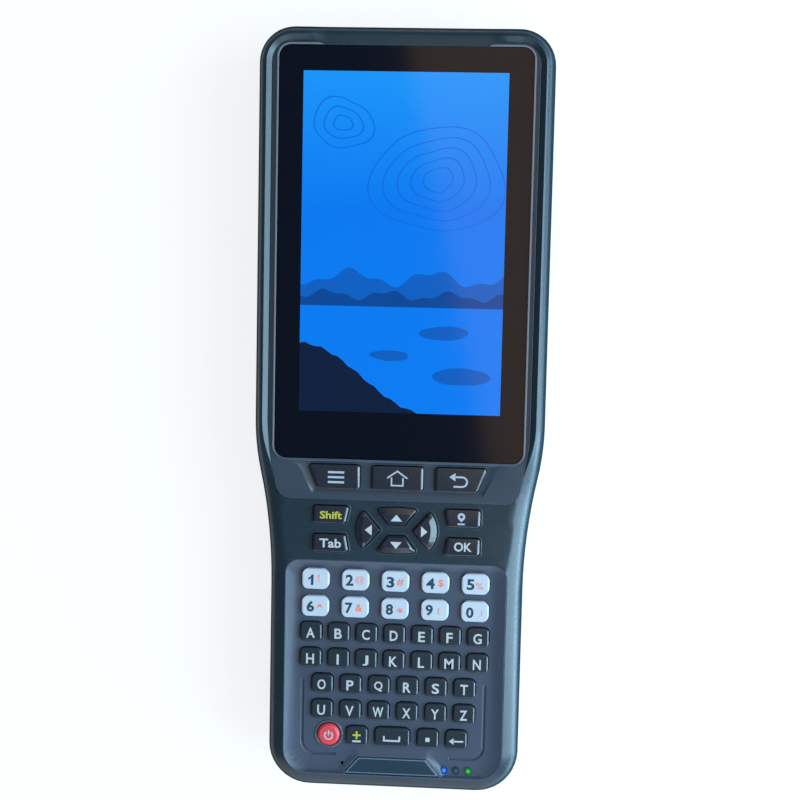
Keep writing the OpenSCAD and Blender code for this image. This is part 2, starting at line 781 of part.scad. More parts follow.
module rear_housing() {
    color("darkslategray") difference() {
        loft([for (p = case_ring) back_section(p)]);
        difference() {
            back_cavity();
            at_screws() cylinder(split_z + 1, d = boss_d + 0.6);
            prism(0, split_z + 1) bay_plan(FIT + bay_wall);
            at_cover_screws() cylinder(cover_t + cover_screw_l + 1.2, d = 5);
            translate([0, camera_y, 0]) cylinder(5, d = camera_d + 5);
        }
        prism(-1, bay_z) bay_plan(FIT);
        prism(-1, cover_t) cover_plan(FIT);
        at_screws() {
            translate([0, 0, -1]) cylinder(split_z + 2, d = screw_d + 0.4);
            translate([0, 0, -1]) cylinder(screw_seat_z + 1, d = screw_head_d + 0.4);
        }
        at_cover_screws() translate([0, 0, cover_t - SKIN])
            cylinder(cover_screw_l, d = screw_d + 2 * RUN);
        translate([0, camera_y, -1]) cylinder(split_z, d = camera_d + 2 * RUN);
        translate([0, camera_y, -1]) cylinder(1.6, d = camera_d + 2 * RUN + 3);
        seal_ring(split_z - seal_h / 2, split_z + SKIN);
    }
}

module case_seal() {
    color("black") seal_ring(split_z - seal_h / 2, split_z + seal_h / 2);
}

module screw(l) {
    cylinder(screw_head_h, d = screw_head_d);
    translate([0, 0, screw_head_h]) cylinder(l, d = screw_d);
}

module case_screws() {
    color("silver") at_screws() translate([0, 0, screw_seat_z - screw_head_h])
        difference() {
            screw(screw_tip_z - screw_seat_z);
            translate([0, 0, -SKIN]) cylinder(1.2, d = 1.8, $fn = 6);
        }
}

module cover_screws() {
    color("silver") at_cover_screws() translate([0, 0, 0.2])
        difference() {
            union() {
                cylinder(1.2, d = 4.2);
                cylinder(cover_t + cover_screw_l - 0.6, d = screw_d);
            }
            translate([0, 0, -SKIN]) cylinder(0.8, d = 1.8, $fn = 6);
        }
}

module battery_cover() {
    color("darkslategray") difference() {
        prism(0.2, cover_t) cover_plan();
        at_cover_screws() {
            translate([0, 0, -1]) cylinder(2.4, d = 4.4);
            cylinder(cover_t + 1, d = screw_d + 0.3);
        }
    }
}

module battery_pack() {
    color("gray") translate([0, bay_y, cover_t])
        linear_extrude(battery_t) rounded_rect(battery_w, battery_l, 3);
}

module rear_camera() {
    color("black") translate([0, camera_y, 0]) {
        translate([0, 0, 0.3]) cylinder(0.3, d = camera_d + 3);
        translate([0, 0, 0.5]) cylinder(camera_l - 0.5, d = camera_d);
    }
}

module port_cover() {
    color("black") {
        translate([-flap_w / 2, -end_y, hinge_z])
            cube([flap_w, flap_t, cover_top_z - hinge_z]);
        translate([-flap_w / 2, hinge_y, hinge_z]) rotate([0, 90, 0])
            cylinder(flap_w, r = hinge_r);
        translate([-port_w / 2 + 0.4, -end_y + flap_t - SKIN, port_z - port_h / 2 + 0.4])
            cube([port_w - 0.8, 1, port_h - 1.1]);
    }
}

// ---- front trim ----------------------------------------------------------

module screen_bezel() {
    color("slategray") {
        difference() {
            prism(bezel_seat_z, bezel_z) bezel_plan();
            hull() {
                prism(recess_z, recess_z + SKIN) recess_plan(0);
                prism(bezel_z, bezel_z + SKIN) recess_plan(2);
            }
            apertures(function_keys, bezel_seat_z - 1, case_t);
        }
        // bead beside the glass
        prism(bezel_z - SKIN, bezel_z + bead_h) intersection() {
            glass_plan(FIT + bead_w);
            offset(delta = -2 * SKIN) bezel_plan();
        }
    }
}

module touch_glass() {
    color("black") prism(glass_z, deck_z) glass_plan();
}

module display_module() {
    color("dodgerblue") prism(glass_z - module_t, glass_z) display_plan();
}

bracket_top_y = row_y(4) + 0.6;
bracket_foot_y = row_y(6) - bracket_drop;
// the groove that frames the lower rows: two corners, open above and below
module bracket() {
    half = tray_w / 2 - bracket_in + bracket_w / 2;
    both_sides() intersection() {
        difference() {
            end_rounded(2 * half, bracket_foot_y - bracket_w / 2, tray_top_y, 4, 1);
            end_rounded(2 * half - 2 * bracket_w, bracket_foot_y + bracket_w / 2,
                        tray_top_y, 3.5, 1);
        }
        translate([bracket_end, bracket_foot_y - bracket_w])
            square([half, bracket_top_y - bracket_foot_y + bracket_w]);
    }
}

module keypad_panel() {
    color("slategray") {
        difference() {
            union() {
                prism(tray_seat_z, deck_z) tray_plan();
                prism(under_z, tray_seat_z + SKIN) tray_plan(-ledge_w - FIT);
            }
            difference() {
                hull() {
                    prism(tray_z, tray_z + SKIN) tray_floor_plan();
                    prism(deck_z, deck_z + SKIN) tray_plan(-0.3);
                }
                hull() {
                    prism(tray_z - 1, tray_z) plate_plan(2);
                    prism(mound_z, mound_z + SKIN) plate_plan(0.5);
                }
            }
            apertures(tray_keys, under_z - 1, case_t);
            prism(mound_z - 0.5, case_t) plate_plan(FIT);
            prism(tray_z - bracket_d, case_t) bracket();
            prism(under_z - 1, case_t) light_plan(RUN);
            translate([-mic_x, mic_y, under_z - 1]) cylinder(case_t, d = mic_d);
        }
        // feet on the circuit board
        for (x = [-1, 1]) translate([x * plate_top_half * 0.8, mic_y, board_z])
            cylinder(under_z - board_z + SKIN, d = 2.4);
    }
}

module nameplate() {
    color("darkslategray") hull() {
        prism(mound_z - 0.5, mound_z) plate_plan();
        prism(mound_z, mound_z + plate_proud) plate_plan(-plate_bevel);
    }
}

module status_lights() {
    color("lime") prism(board_z, tray_z + 0.3) light_plan();
}

// ---- inside --------------------------------------------------------------

mat_w = rows_w + 0.8;
mat_y0 = row_y(6) - 4;
mat_y1 = function_y + function_l / 2 + 0.6;

module keypad_mat() {
    color("gainsboro") difference() {
        union() {
            translate([-mat_w / 2, mat_y0, board_z]) cube([mat_w, mat_y1 - mat_y0, mat_t]);
            for (k = all_keys) translate([k[6][0], k[6][1], board_z])
                cylinder(flange_z - board_z, d = hump_d);
        }
        for (k = all_keys) translate([k[6][0], k[6][1], board_z - 1])
            cylinder(flange_z - board_z + 1 - mat_t, d = hump_d - 1.2);
    }
}

module dome_switches() {
    color("gold") for (k = all_keys) translate([k[6][0], k[6][1], board_z])
        cylinder(0.4, 1.3, 0.7);
}

module main_board() {
    head_w = module_w + 1;
    foot = tray_foot_y + 0.8;
    color("green") {
        prism(board_z - board_t, board_z) difference() {
            union() {
                translate([-mat_w / 2, foot]) square([mat_w, mat_y1 - foot]);
                translate([-head_w / 2, mat_y1 - SKIN])
                    square([head_w, camera_y + 10 - mat_y1]);
            }
            at_screws() circle(boss_d / 2 + 0.5);
        }
        // charging socket
        translate([-socket_w / 2, foot - FIT, board_z - board_t - socket_h])
            cube([socket_w, socket_l, socket_h + SKIN]);
        // screening can
        translate([-can_w / 2, lit_y - can_l, board_z - board_t - can_h])
            cube([can_w, can_l, can_h + SKIN]);
        // camera socket
        translate([0, camera_y, camera_l])
            cylinder(board_z - board_t - camera_l + SKIN, d = camera_d - 2);
    }
}

// ---- all nodes -----------------------------------------------------------

front_housing();
rear_housing();
screen_bezel();
keypad_panel();
touch_glass();
display_module();
keypad_mat();
dome_switches();
main_board();
case_seal();
case_screws();
battery_pack();
battery_cover();
cover_screws();
status_lights();
nameplate();
rear_camera();
port_cover();
key_row(o_to_t);  // keys_o_to_t
key_row(u_to_z);  // keys_u_to_z
for (k = single_keys) key(k);
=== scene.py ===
"""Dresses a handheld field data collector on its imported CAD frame: housings, keys, screen and studio."""
import json
import logging
import math
from collections.abc import Callable
from dataclasses import dataclass
from enum import Enum
from functools import partial

import bpy
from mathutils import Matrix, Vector

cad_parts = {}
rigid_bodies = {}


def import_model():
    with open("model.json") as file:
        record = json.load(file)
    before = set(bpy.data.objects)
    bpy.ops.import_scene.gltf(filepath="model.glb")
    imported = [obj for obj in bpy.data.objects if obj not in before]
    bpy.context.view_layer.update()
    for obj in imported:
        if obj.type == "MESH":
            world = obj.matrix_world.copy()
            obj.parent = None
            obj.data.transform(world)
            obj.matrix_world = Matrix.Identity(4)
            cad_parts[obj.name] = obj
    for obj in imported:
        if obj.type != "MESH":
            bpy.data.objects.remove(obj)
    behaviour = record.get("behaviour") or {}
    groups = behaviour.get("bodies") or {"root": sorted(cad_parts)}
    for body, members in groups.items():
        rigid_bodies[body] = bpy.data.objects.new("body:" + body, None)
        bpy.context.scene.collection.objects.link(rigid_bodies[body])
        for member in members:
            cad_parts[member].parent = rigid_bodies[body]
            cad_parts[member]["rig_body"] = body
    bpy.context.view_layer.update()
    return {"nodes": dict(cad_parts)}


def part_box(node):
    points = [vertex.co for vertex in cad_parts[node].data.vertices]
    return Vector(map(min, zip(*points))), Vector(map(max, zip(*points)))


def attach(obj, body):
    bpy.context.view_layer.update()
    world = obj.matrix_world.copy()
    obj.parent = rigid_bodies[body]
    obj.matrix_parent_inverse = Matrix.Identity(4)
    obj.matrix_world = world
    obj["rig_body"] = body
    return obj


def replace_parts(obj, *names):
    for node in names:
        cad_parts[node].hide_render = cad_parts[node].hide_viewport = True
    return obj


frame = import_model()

LOG = logging.getLogger("data_collector")
ROOT_BODY = "case"
MM = 0.001
INK_THICKNESS = 0.02
# Height of a capital in the built-in face, as a share of its size.
CAPITAL_SHARE = 0.729
# Stroke widths of the icons in mm.
PEN, FINE_PEN, RING_PEN = 0.5, 0.425, 0.4
# Closely drawn signs get thinner strokes, in mm.
FINE_SIGNS = {"@": -0.03, "%": -0.01}
# Heights and points closer than these, in mm, count as one.
SAME_HEIGHT, SAME_POINT = 0.01, 0.002
# Largest upward part of the normal of a wall.
WALL_SLOPE = 0.1
# Sharp corners of a stroke reach out to its width over twice this, and no further.
SHARPEST_MITRE = 0.4
# Cosine between a face and its rounded edge where the painted edge highlight begins and where it is full.
EDGE_HIGHLIGHT_BEGINS, EDGE_HIGHLIGHT_FULL = 0.995, 0.9
# Where the lamps aim, in metres, and their linear colours.
AIM = (0.0, 0.0, 0.02)
SKY_BLUE, PALE_BLUE = (0.42, 0.74, 1.0), (0.8, 0.9, 1.0)
# Outline of a figure one with its flag, in shares of its size.
FIGURE_ONE = ((0.5, 0.5), (0.12, 0.5), (0.02, 0.36), (-0.2, 0.24), (-0.5, 0.18), (-0.5, 0.0),
              (-0.2, 0.05), (0.04, 0.16), (0.04, -0.5), (0.5, -0.5))
# Left, right, foot and top of the lit window in mm.
LIT_WINDOW = (-28.1, 28.1, 1.5, 95.1)

Pair = tuple[float, float]
Triple = tuple[float, float, float]
Loop = list[Pair]
Piece, Material = bpy.types.Object, bpy.types.Material
Tree, Node, Socket = bpy.types.NodeTree, bpy.types.Node, bpy.types.NodeSocket
Adder = Callable[..., Node]


def srgb(code: str) -> tuple[float, float, float, float]:
    """Turns an sRGB hex colour to linear light.

    Args:
        code: The colour as six hex digits.

    Returns:
        Linear red, green and blue with an alpha of one.
    """
    parts = [int(code.lstrip("#")[i:i + 2], 16) / 255 for i in (0, 2, 4)]
    linear = [p / 12.92 if p <= 0.04045 else ((p + 0.055) / 1.055) ** 2.4 for p in parts]
    return linear[0], linear[1], linear[2], 1.0


def per_metre(size: float) -> float:
    """Gives the texture scale at which one feature is `size` millimetres wide."""
    return 1.0 / (size * MM)


def deselect() -> None:
    """Leaves nothing selected."""
    bpy.ops.object.select_all(action="DESELECT")


def choose(piece: Piece) -> Piece:
    """Makes one object the only selected one and the active one.

    Args:
        piece: The object.

    Returns:
        The same object.
    """
    deselect()
    piece.select_set(True)
    bpy.context.view_layer.objects.active = piece
    return piece


def add_node(tree: Tree, kind: str, settings: dict | None = None,
             links: dict | None = None) -> Node:
    """Adds a node with its settings and its incoming links.

    Args:
        tree: The node tree that takes the node.
        kind: The node's type name without ShaderNode.
        settings: Values by socket name, socket number or attribute name.
        links: Sockets, or nodes for their first one, by this node's socket name or number.

    Returns:
        The new node.
    """
    node = tree.nodes.new("ShaderNode" + kind)
    for name, value in (settings or {}).items():
        if isinstance(name, int) or name in node.inputs:
            node.inputs[name].default_value = value
        else:
            setattr(node, name, value)
    for name, source in (links or {}).items():
        socket = source.outputs[0] if isinstance(source, Node) else source
        tree.links.new(socket, node.inputs[name])
    return node


def clouded(add: Adder, first: str, second: str, scale: float, detail: float = 2.0) -> Socket:
    """Lets two colours drift into each other in slow clouds.

    Args:
        add: What adds a node to the material's tree.
        first: One colour in sRGB hex.
        second: The other colour.
        scale: The clouds' texture scale.
        detail: How finely their edges break up.

    Returns:
        The socket of the colour.
    """
    place = add("TexCoord").outputs["Object"]
    cloud = add("TexNoise", {"Scale": scale, "Detail": detail}, {"Vector": place})
    return add("Mix", {"data_type": "RGBA", 6: srgb(first), 7: srgb(second)},
               {0: cloud}).outputs[2]


def seen_ray(add: Adder) -> Node:
    """Tells apart what is seen straight, mirrored or through glass.

    Args:
        add: What adds a node to the tree.

    Returns:
        The node that gives one for such a ray and else nought.
    """
    path = add("LightPath")
    share = path.outputs["Is Camera Ray"]
    for ray in ("Is Glossy Ray", "Is Transmission Ray"):
        share = add("Math", {"operation": "MAXIMUM"}, {0: share, 1: path.outputs[ray]})
    return share


def new_material(name: str) -> tuple[Material, Adder]:
    """Makes a material with an empty node tree.

    Args:
        name: The material's name.

    Returns:
        The material and what adds a node to its tree.
    """
    material = bpy.data.materials.new(name)
    material.use_nodes = True
    material.node_tree.nodes.clear()
    return material, partial(add_node, material.node_tree)


@dataclass(frozen=True)
class Finish:
    """A finish that builds one material and carries the name of the slot where it belongs; nothing here
    applies the slot.
    """

    name: str
    slot: str

    def fill(self, add: Adder) -> Node:
        """Adds the nodes and gives the closing shader."""
        raise NotImplementedError

    def material(self) -> Material:
        """Builds the finish's material at its first use.

        Returns:
            The material.
        """
        found = bpy.data.materials.get(self.name)
        if found is not None:
            return found
        made, add = new_material(self.name)
        shader = self.fill(add)
        add("OutputMaterial", links={"Surface": shader})
        return made


@dataclass(frozen=True)
class MouldedPlastic(Finish):
    """Injection-moulded plastic whose steel mould left a fine eroded grain on it.

    The grain scatters light softly, a slow cloud in the colour comes from the flow of
    the melt, and a painted highlight makes the rounded edges a little paler.
    """

    colour: str
    cloud: str
    edge_highlight: str
    roughness: float
    spread: float = 0.08
    grain: float = 0.35
    depth: float = 0.02
    edge: float = 0.18
    cloud_size: float = 16.0
    coat: float = 0.0
    coat_roughness: float = 0.16

    def tint(self, add: Adder, place: Socket, body: Socket) -> Socket:
        """Lets a kind of moulding colour some of its places; a plain one doesn't."""
        return body

    def fill(self, add: Adder) -> Node:
        """Adds the material's nodes.

        Args:
            add: What adds a node.

        Returns:
            The closing shader.
        """
        place = add("TexCoord").outputs["Object"]
        body = clouded(add, self.colour, self.cloud, per_metre(self.cloud_size), 3.0)
        grain = add("TexNoise", {"Scale": per_metre(self.grain), "Detail": 2.0, "Roughness": 0.6},
                    {"Vector": place})
        rounded = add("Bevel", {"samples": 4, "Radius": self.edge * MM})
        flat = add("NewGeometry").outputs["Normal"]
        turn = add("VectorMath", {"operation": "DOT_PRODUCT"}, {0: rounded, 1: flat})
        # Rounded edges take a paler colour as a painted highlight.
        paler_edge_share = add("MapRange", {"From Min": EDGE_HIGHLIGHT_BEGINS, "From Max": EDGE_HIGHLIGHT_FULL},
                   {"Value": turn.outputs["Value"]})
        skin = add("Mix", {"data_type": "RGBA", 7: srgb(self.edge_highlight)},
                   {0: paler_edge_share, 6: self.tint(add, place, body)})
        rough = add("MapRange", {"From Min": 0.3, "From Max": 0.7,
                                 "To Min": self.roughness - self.spread,
                                 "To Max": self.roughness + self.spread}, {"Value": grain})
        relief = add("Bump", {"Strength": 0.6, "Distance": self.depth * MM},
                     {"Height": grain, "Normal": rounded})
        return add("BsdfPrincipled", {"Coat Weight": self.coat,
                                      "Coat Roughness": self.coat_roughness},
                   {"Base Color": skin.outputs[2], "Roughness": rough, "Normal": relief})


@dataclass(frozen=True)
class RimPlastic(MouldedPlastic):
    """The screen's rim, with painted shade on the rails beside the glass and a painted highlight on the
    bead along it.
    """

    # Colours and reach in mm of the painted shade on the rails and the painted highlight on the bead.
    rail_shade: str = "#242a34"
    bead_highlight: str = "#696267"
    rail_from: float = -12.5
    rail_fade: float = 4.0
    bead_from: float = 29.13
    bead_fade: float = 0.02

    def tint(self, add: Adder, place: Socket, body: Socket) -> Socket:
        """Paints shade on the rails and a highlight on the bead by their place.

        Args:
            add: What adds a node.
            place: The place in metres.
            body: The plastic's colour.

        Returns:
            The colour with the painted shade on the rails and the painted highlight on the bead.
        """
        axes = add("SeparateXYZ", links={"Vector": place})
        # Masks for the painted shade on the rails and the painted highlight on the bead.
        above, raised = (
            add("MapRange", {"From Min": low * MM, "From Max": high * MM},
                {"Value": axes.outputs[axis]})
            for axis, low, high in (
                ("Y", self.rail_from, self.rail_from + self.rail_fade),
                ("Z", self.bead_from - self.bead_fade, self.bead_from + self.bead_fade)))
        bead_highlight_share = add("Math", {"operation": "MULTIPLY"}, {0: above, 1: raised})
        for share, colour in ((above, self.rail_shade), (bead_highlight_share, self.bead_highlight)):
            body = add("Mix", {"data_type": "RGBA", 7: srgb(colour)},
                       {0: share, 6: body}).outputs[2]
        return body


@dataclass(frozen=True)
class CoverGlass(Finish):
    """Strengthened cover glass, printed black on its back outside the lit window.

    The lit window shows a backlit panel: an even blue with a paler top, and faint rows
    of cells that read as a slight weave.
    """

    print_colour: str = "#0b0e16"
    blues: tuple[str, str, str] = ("#007cf4", "#0079f1", "#1595fb")
    middle_blue_at: float = 0.6
    row: float = 2.4
    dust: float = 9.0

    def fill(self, add: Adder) -> Node:
        """Adds the material's nodes.

        Args:
            add: What adds a node.

        Returns:
            The closing shader.
        """
        left, right, foot, top = LIT_WINDOW
        place = add("TexCoord").outputs["Object"]
        axes = add("SeparateXYZ", links={"Vector": place})
        across, up = (
            add("Math", {"operation": "COMPARE", 1: (low + high) / 2 * MM,
                         2: (high - low) / 2 * MM}, {0: axes.outputs[axis]})
            for axis, low, high in (("X", left, right), ("Y", foot, top)))
        lit = add("Math", {"operation": "MULTIPLY"}, {0: across, 1: up})
        height = add("MapRange", {"From Min": foot * MM, "From Max": top * MM},
                     {"Value": axes.outputs["Y"]})
        ramp = add("ValToRGB", links={"Fac": height})
        stops = ramp.color_ramp.elements
        stops.new(self.middle_blue_at)
        for stop, colour in zip(stops, self.blues):
            stop.color = srgb(colour)
        weave = add("TexWave", {"Scale": per_metre(self.row), "Distortion": 1.5,
                                "bands_direction": "Y"}, {"Vector": place})
        dim = add("MapRange", {"To Min": 0.96, "To Max": 1.0}, {"Value": weave.outputs["Fac"]})
        shown = add("Math", {"operation": "MULTIPLY"}, {0: lit, 1: dim})
        dust = add("TexNoise", {"Scale": per_metre(self.dust), "Detail": 4.0}, {"Vector": place})
        rough = add("MapRange", {"To Min": 0.05, "To Max": 0.12}, {"Value": dust})
        return add("BsdfPrincipled", {"Base Color": srgb(self.print_colour)},
                   {"Roughness": rough, "Emission Color": ramp, "Emission Strength": shown})


@dataclass(frozen=True)
class LitPicture(Finish):
    """Part of the lit picture, seen through the gloss of the cover glass."""

    colour: str
    fade: str
    patch: float = 14.0
    black: str = "#05070c"

    def fill(self, add: Adder) -> Node:
        """Adds the nodes and gives the closing shader."""
        tone = clouded(add, self.colour, self.fade, per_metre(self.patch))
        return add("BsdfPrincipled", {"Base Color": srgb(self.black), "Roughness": 0.08,
                                      "Emission Strength": 1.0}, {"Emission Color": tone})


@dataclass(frozen=True)
class PadInk(Finish):
    """Pad-printed key ink: an even, slightly broken film with a satin face."""

    colour: str
    thin: str
    speck: float = 0.5

    def fill(self, add: Adder) -> Node:
        """Adds the nodes and gives the closing shader."""
        film = clouded(add, self.colour, self.thin, per_metre(self.speck), 3.0)
        return add("BsdfPrincipled", {"Roughness": 0.5}, {"Base Color": film})


@dataclass(frozen=True)
class PlatedSteel(Finish):
    """Zinc-plated or passivated steel, turned or stamped, with fine tool lines."""

    colour: str = "#9aa0a6"
    roughness: float = 0.32
    line: float = 0.4

    def fill(self, add: Adder) -> Node:
        """Adds the material's nodes.

        Args:
            add: What adds a node.

        Returns:
            The closing shader.
        """
        place = add("TexCoord").outputs["Object"]
        lines = add("TexNoise", {"Scale": per_metre(self.line), "Detail": 3.0}, {"Vector": place})
        rough = add("MapRange", {"To Min": self.roughness - 0.1, "To Max": self.roughness + 0.12},
                    {"Value": lines})
        relief = add("Bump", {"Strength": 0.3, "Distance": 0.01 * MM}, {"Height": lines})
        return add("BsdfPrincipled", {"Base Color": srgb(self.colour), "Metallic": 1.0},
                   {"Roughness": rough, "Normal": relief})


@dataclass(frozen=True)
class Lens(Finish):
    """Clear acrylic light pipe over a small lamp: a glossy head with a lit core."""

    colour: str
    core: str
    glow: float
    middle: Pair
    core_radius: float = 0.75

    def fill(self, add: Adder) -> Node:
        """Adds the material's nodes.

        Args:
            add: What adds a node.

        Returns:
            The closing shader.
        """
        place = add("TexCoord").outputs["Object"]
        level = add("VectorMath", {"operation": "MULTIPLY", 1: (1.0, 1.0, 0.0)}, {0: place})
        middle = (self.middle[0] * MM, self.middle[1] * MM, 0.0)
        away = add("VectorMath", {"operation": "DISTANCE", 1: middle}, {0: level})
        inner = add("MapRange", {"From Max": self.core_radius * MM, "To Min": 1.0, "To Max": 0.0},
                    {"Value": away.outputs["Value"]})
        tone = add("Mix", {"data_type": "RGBA", 6: srgb(self.colour), 7: srgb(self.core)},
                   {0: inner})
        return add("BsdfPrincipled", {"Roughness": 0.12, "Emission Strength": self.glow,
                                      "Coat Weight": 0.6},
                   {"Base Color": tone.outputs[2], "Emission Color": tone.outputs[2]})


class Finishes(Enum):
    """Every finish on the collector, by the part that it dresses."""

    # The third colour of each moulding is the painted highlight on its rounded edges.
    # PC/ABS blend, the usual stuff of rugged handhelds: low gloss, fine grain.
    SHELL = MouldedPlastic(
        "pc_abs_grained_teal", "case", "#1f2f38", "#1b2a33", "#384d5a", roughness=0.31, depth=0.003)
    # The same blend with a smoother mould, as rims and keypad surrounds have.
    TRIM = MouldedPlastic(
        "pc_abs_satin_slate", "trim", "#3e4756", "#38414f", "#626e80", roughness=0.36, grain=0.3,
        depth=0.015, edge=0.12)
    # That blend again, dyed darker for the screen's rim, with painted shade on its rails and a painted
    # highlight on its bead.
    SCREEN_RIM = RimPlastic(
        "pc_abs_satin_rim", "trim", "#303b46", "#2c3641", "#5f7385", roughness=0.35, grain=0.25,
        depth=0.01, edge=0.15)
    # Overmoulded key caps of matt silicone-coated polycarbonate.
    DARK_KEY = MouldedPlastic(
        "coated_pc_dark_key", "dark_key", "#252c34", "#20272e", "#3a454f", roughness=0.3, grain=0.2,
        depth=0.005, edge=0.3, coat=0.5)
    DECK_KEY = MouldedPlastic(
        "coated_pc_deck_key", "dark_key", "#24272f", "#20232b", "#2c303a", roughness=0.25,
        grain=0.2, spread=0.04, depth=0.003, edge=0.06, coat=0.8)
    PALE_KEY = MouldedPlastic(
        "coated_pc_pale_key", "pale_key", "#adb3bc", "#a3a9b2", "#bbc0c7", roughness=0.38,
        grain=0.2, depth=0.006, edge=0.3)
    RED_KEY = MouldedPlastic(
        "coated_pc_red_key", "red_key", "#cc3a43", "#bd333b", "#dd5f68", roughness=0.35, grain=0.2,
        depth=0.006, edge=0.3)
    # The power key's collar: the tray's plastic, polished and clear-coated.
    COLLAR = MouldedPlastic(
        "polished_collar", "trim", "#46505a", "#3f4851", "#78838e", roughness=0.24, grain=0.2,
        spread=0.03, depth=0.002, edge=0.2, coat=0.9)
    # The nameplate: a thin moulded label, bare, with a finer grain than the case.
    PLATE = MouldedPlastic(
        "bare_label_plate", "plate", "#1f3340", "#1b2d39", "#4d6a7a", roughness=0.35, grain=0.25,
        depth=0.008, edge=0.12)
    # Thermoplastic elastomer, matt and slightly waxy.
    FLAP = MouldedPlastic(
        "tpe_port_flap", "rubber", "#1d242c", "#181e25", "#323d48", roughness=0.62, grain=0.4,
        edge=0.2)
    # Moulded silicone, dull and a little dusty: the case seal and the keypad mat.
    SEAL = MouldedPlastic(
        "silicone_case_seal", "rubber", "#20262c", "#1a1f24", "#2c343c", roughness=0.6, grain=0.5,
        edge=0.1)
    # The mat's near-black is partly its own colour and partly painted shade, so the gaps between the keys
    # read black.
    MAT = MouldedPlastic(
        "silicone_mat_with_gap_shade", "mat", "#14181d", "#111519", "#1c2127", roughness=0.6, grain=0.4,
        depth=0.01, edge=0.1)
    # Shrink sleeve of polyester film: dark, smooth, half glossy.
    BATTERY = MouldedPlastic(
        "battery_sleeve", "battery", "#2a2f36", "#242930", "#3c424a", roughness=0.4, grain=0.6,
        depth=0.01, edge=0.3)
    # Glass-epoxy laminate under green solder resist.
    BOARD = MouldedPlastic(
        "glass_epoxy_board", "board", "#1f5a3a", "#1a4d32", "#3b7a58", roughness=0.4, grain=0.8,
        edge=0.1)
    # Black film round the display's steel frame.
    PANEL = MouldedPlastic(
        "display_frame_film", "display", "#20242a", "#1b1f24", "#30353c", roughness=0.3, grain=0.6,
        depth=0.01, edge=0.1)
    # Cast acrylic, near black over the camera's lens and very glossy.
    CAMERA = MouldedPlastic(
        "camera_window_acrylic", "camera", "#11151b", "#0c1015", "#2b333c", roughness=0.1,
        spread=0.04, grain=1.0, depth=0.002, edge=0.1)
    # Carbon steel with a thin zinc plating: screws, switch domes.
    STEEL = PlatedSteel("zinc_plated_steel", "steel")
    # Ion-exchanged aluminosilicate glass with black ceramic print.
    GLASS = CoverGlass("strengthened_cover_glass", "cover_glass")
    # Two-part pad-printing ink in five colours; the pale ring round the nameplate is a painted highlight
    # on its edge.
    WHITE_INK = PadInk("pale_legend_ink", "pale_key", "#a9abad", "#9d9fa2")
    ICON_INK = PadInk("grey_icon_ink", "pale_key", "#9ba1ac", "#90969f")
    RIM_INK = PadInk("painted_plate_edge_highlight", "plate", "#55697a", "#4a5c6b")
    YELLOW_INK = PadInk("yellow_legend_ink", "pale_key", "#a9a630", "#9a972b")
    TEAL_INK = PadInk("dark_legend_ink", "dark_key", "#10303f", "#153746")
    ORANGE_INK = PadInk("orange_legend_ink", "red_key", "#e06a42", "#d6603a")
    # Light of the liquid-crystal panel below the glass, in four blues.
    RING_INK = LitPicture("picture_contour_blue", "display", "#0f6fe0", "#0a68da")
    FAR_HILL = LitPicture("picture_far_blue", "display", "#0f63c6", "#0d5cbd")
    MID_HILL = LitPicture("picture_middle_blue", "display", "#0c4b9c", "#0a4593")
    NEAR_HILL = LitPicture("picture_near_navy", "display", "#0f2140", "#0c1b36")

    def material(self) -> Material:
        """Gives the finish's material."""
        return self.value.material()


def finish_piece(piece: Piece, finish: Finishes, body: str) -> Piece:
    """Gives a new piece its material and body.

    Args:
        piece: The piece, with its place in its mesh.
        finish: The finish that it takes.
        body: The CAD body that it rides on.

    Returns:
        The same piece.
    """
    if not piece.data.materials:
        piece.data.materials.append(finish.material())
    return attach(piece, body)


def ease_edges(thing: Piece, top: float, foot: float, width: float) -> None:
    """Rounds the upper edges of the walls that rise between two heights.

    Args:
        thing: The merged mesh.
        top: Height of the walls' upper edges in mm.
        foot: Height of the walls' lower edges in mm.
        width: Width of the rounding in mm.
    """
    mesh = thing.data
    heights = [corner.co.z / MM for corner in mesh.vertices]
    marked = set()
    for face in mesh.polygons:
        low, high = (pick(heights[i] for i in face.vertices) for pick in (min, max))
        if (max(abs(low - foot), abs(high - top)) < SAME_HEIGHT
                and abs(face.normal.z) < WALL_SLOPE):
            marked.update(tuple(sorted(edge)) for edge in face.edge_keys
                          if all(abs(heights[i] - top) < SAME_HEIGHT for i in edge))
    weights = mesh.attributes.new("bevel_weight_edge", "FLOAT", "EDGE")
    for edge, weight in zip(mesh.edges, weights.data):
        weight.value = float(tuple(sorted(edge.vertices)) in marked)
    bpy.ops.object.modifier_add(type="BEVEL")
    bevel = thing.modifiers[-1]
    bevel.limit_method = "WEIGHT"
    bevel.width, bevel.segments = width * MM, 3
    bpy.ops.object.modifier_apply(modifier=bevel.name)


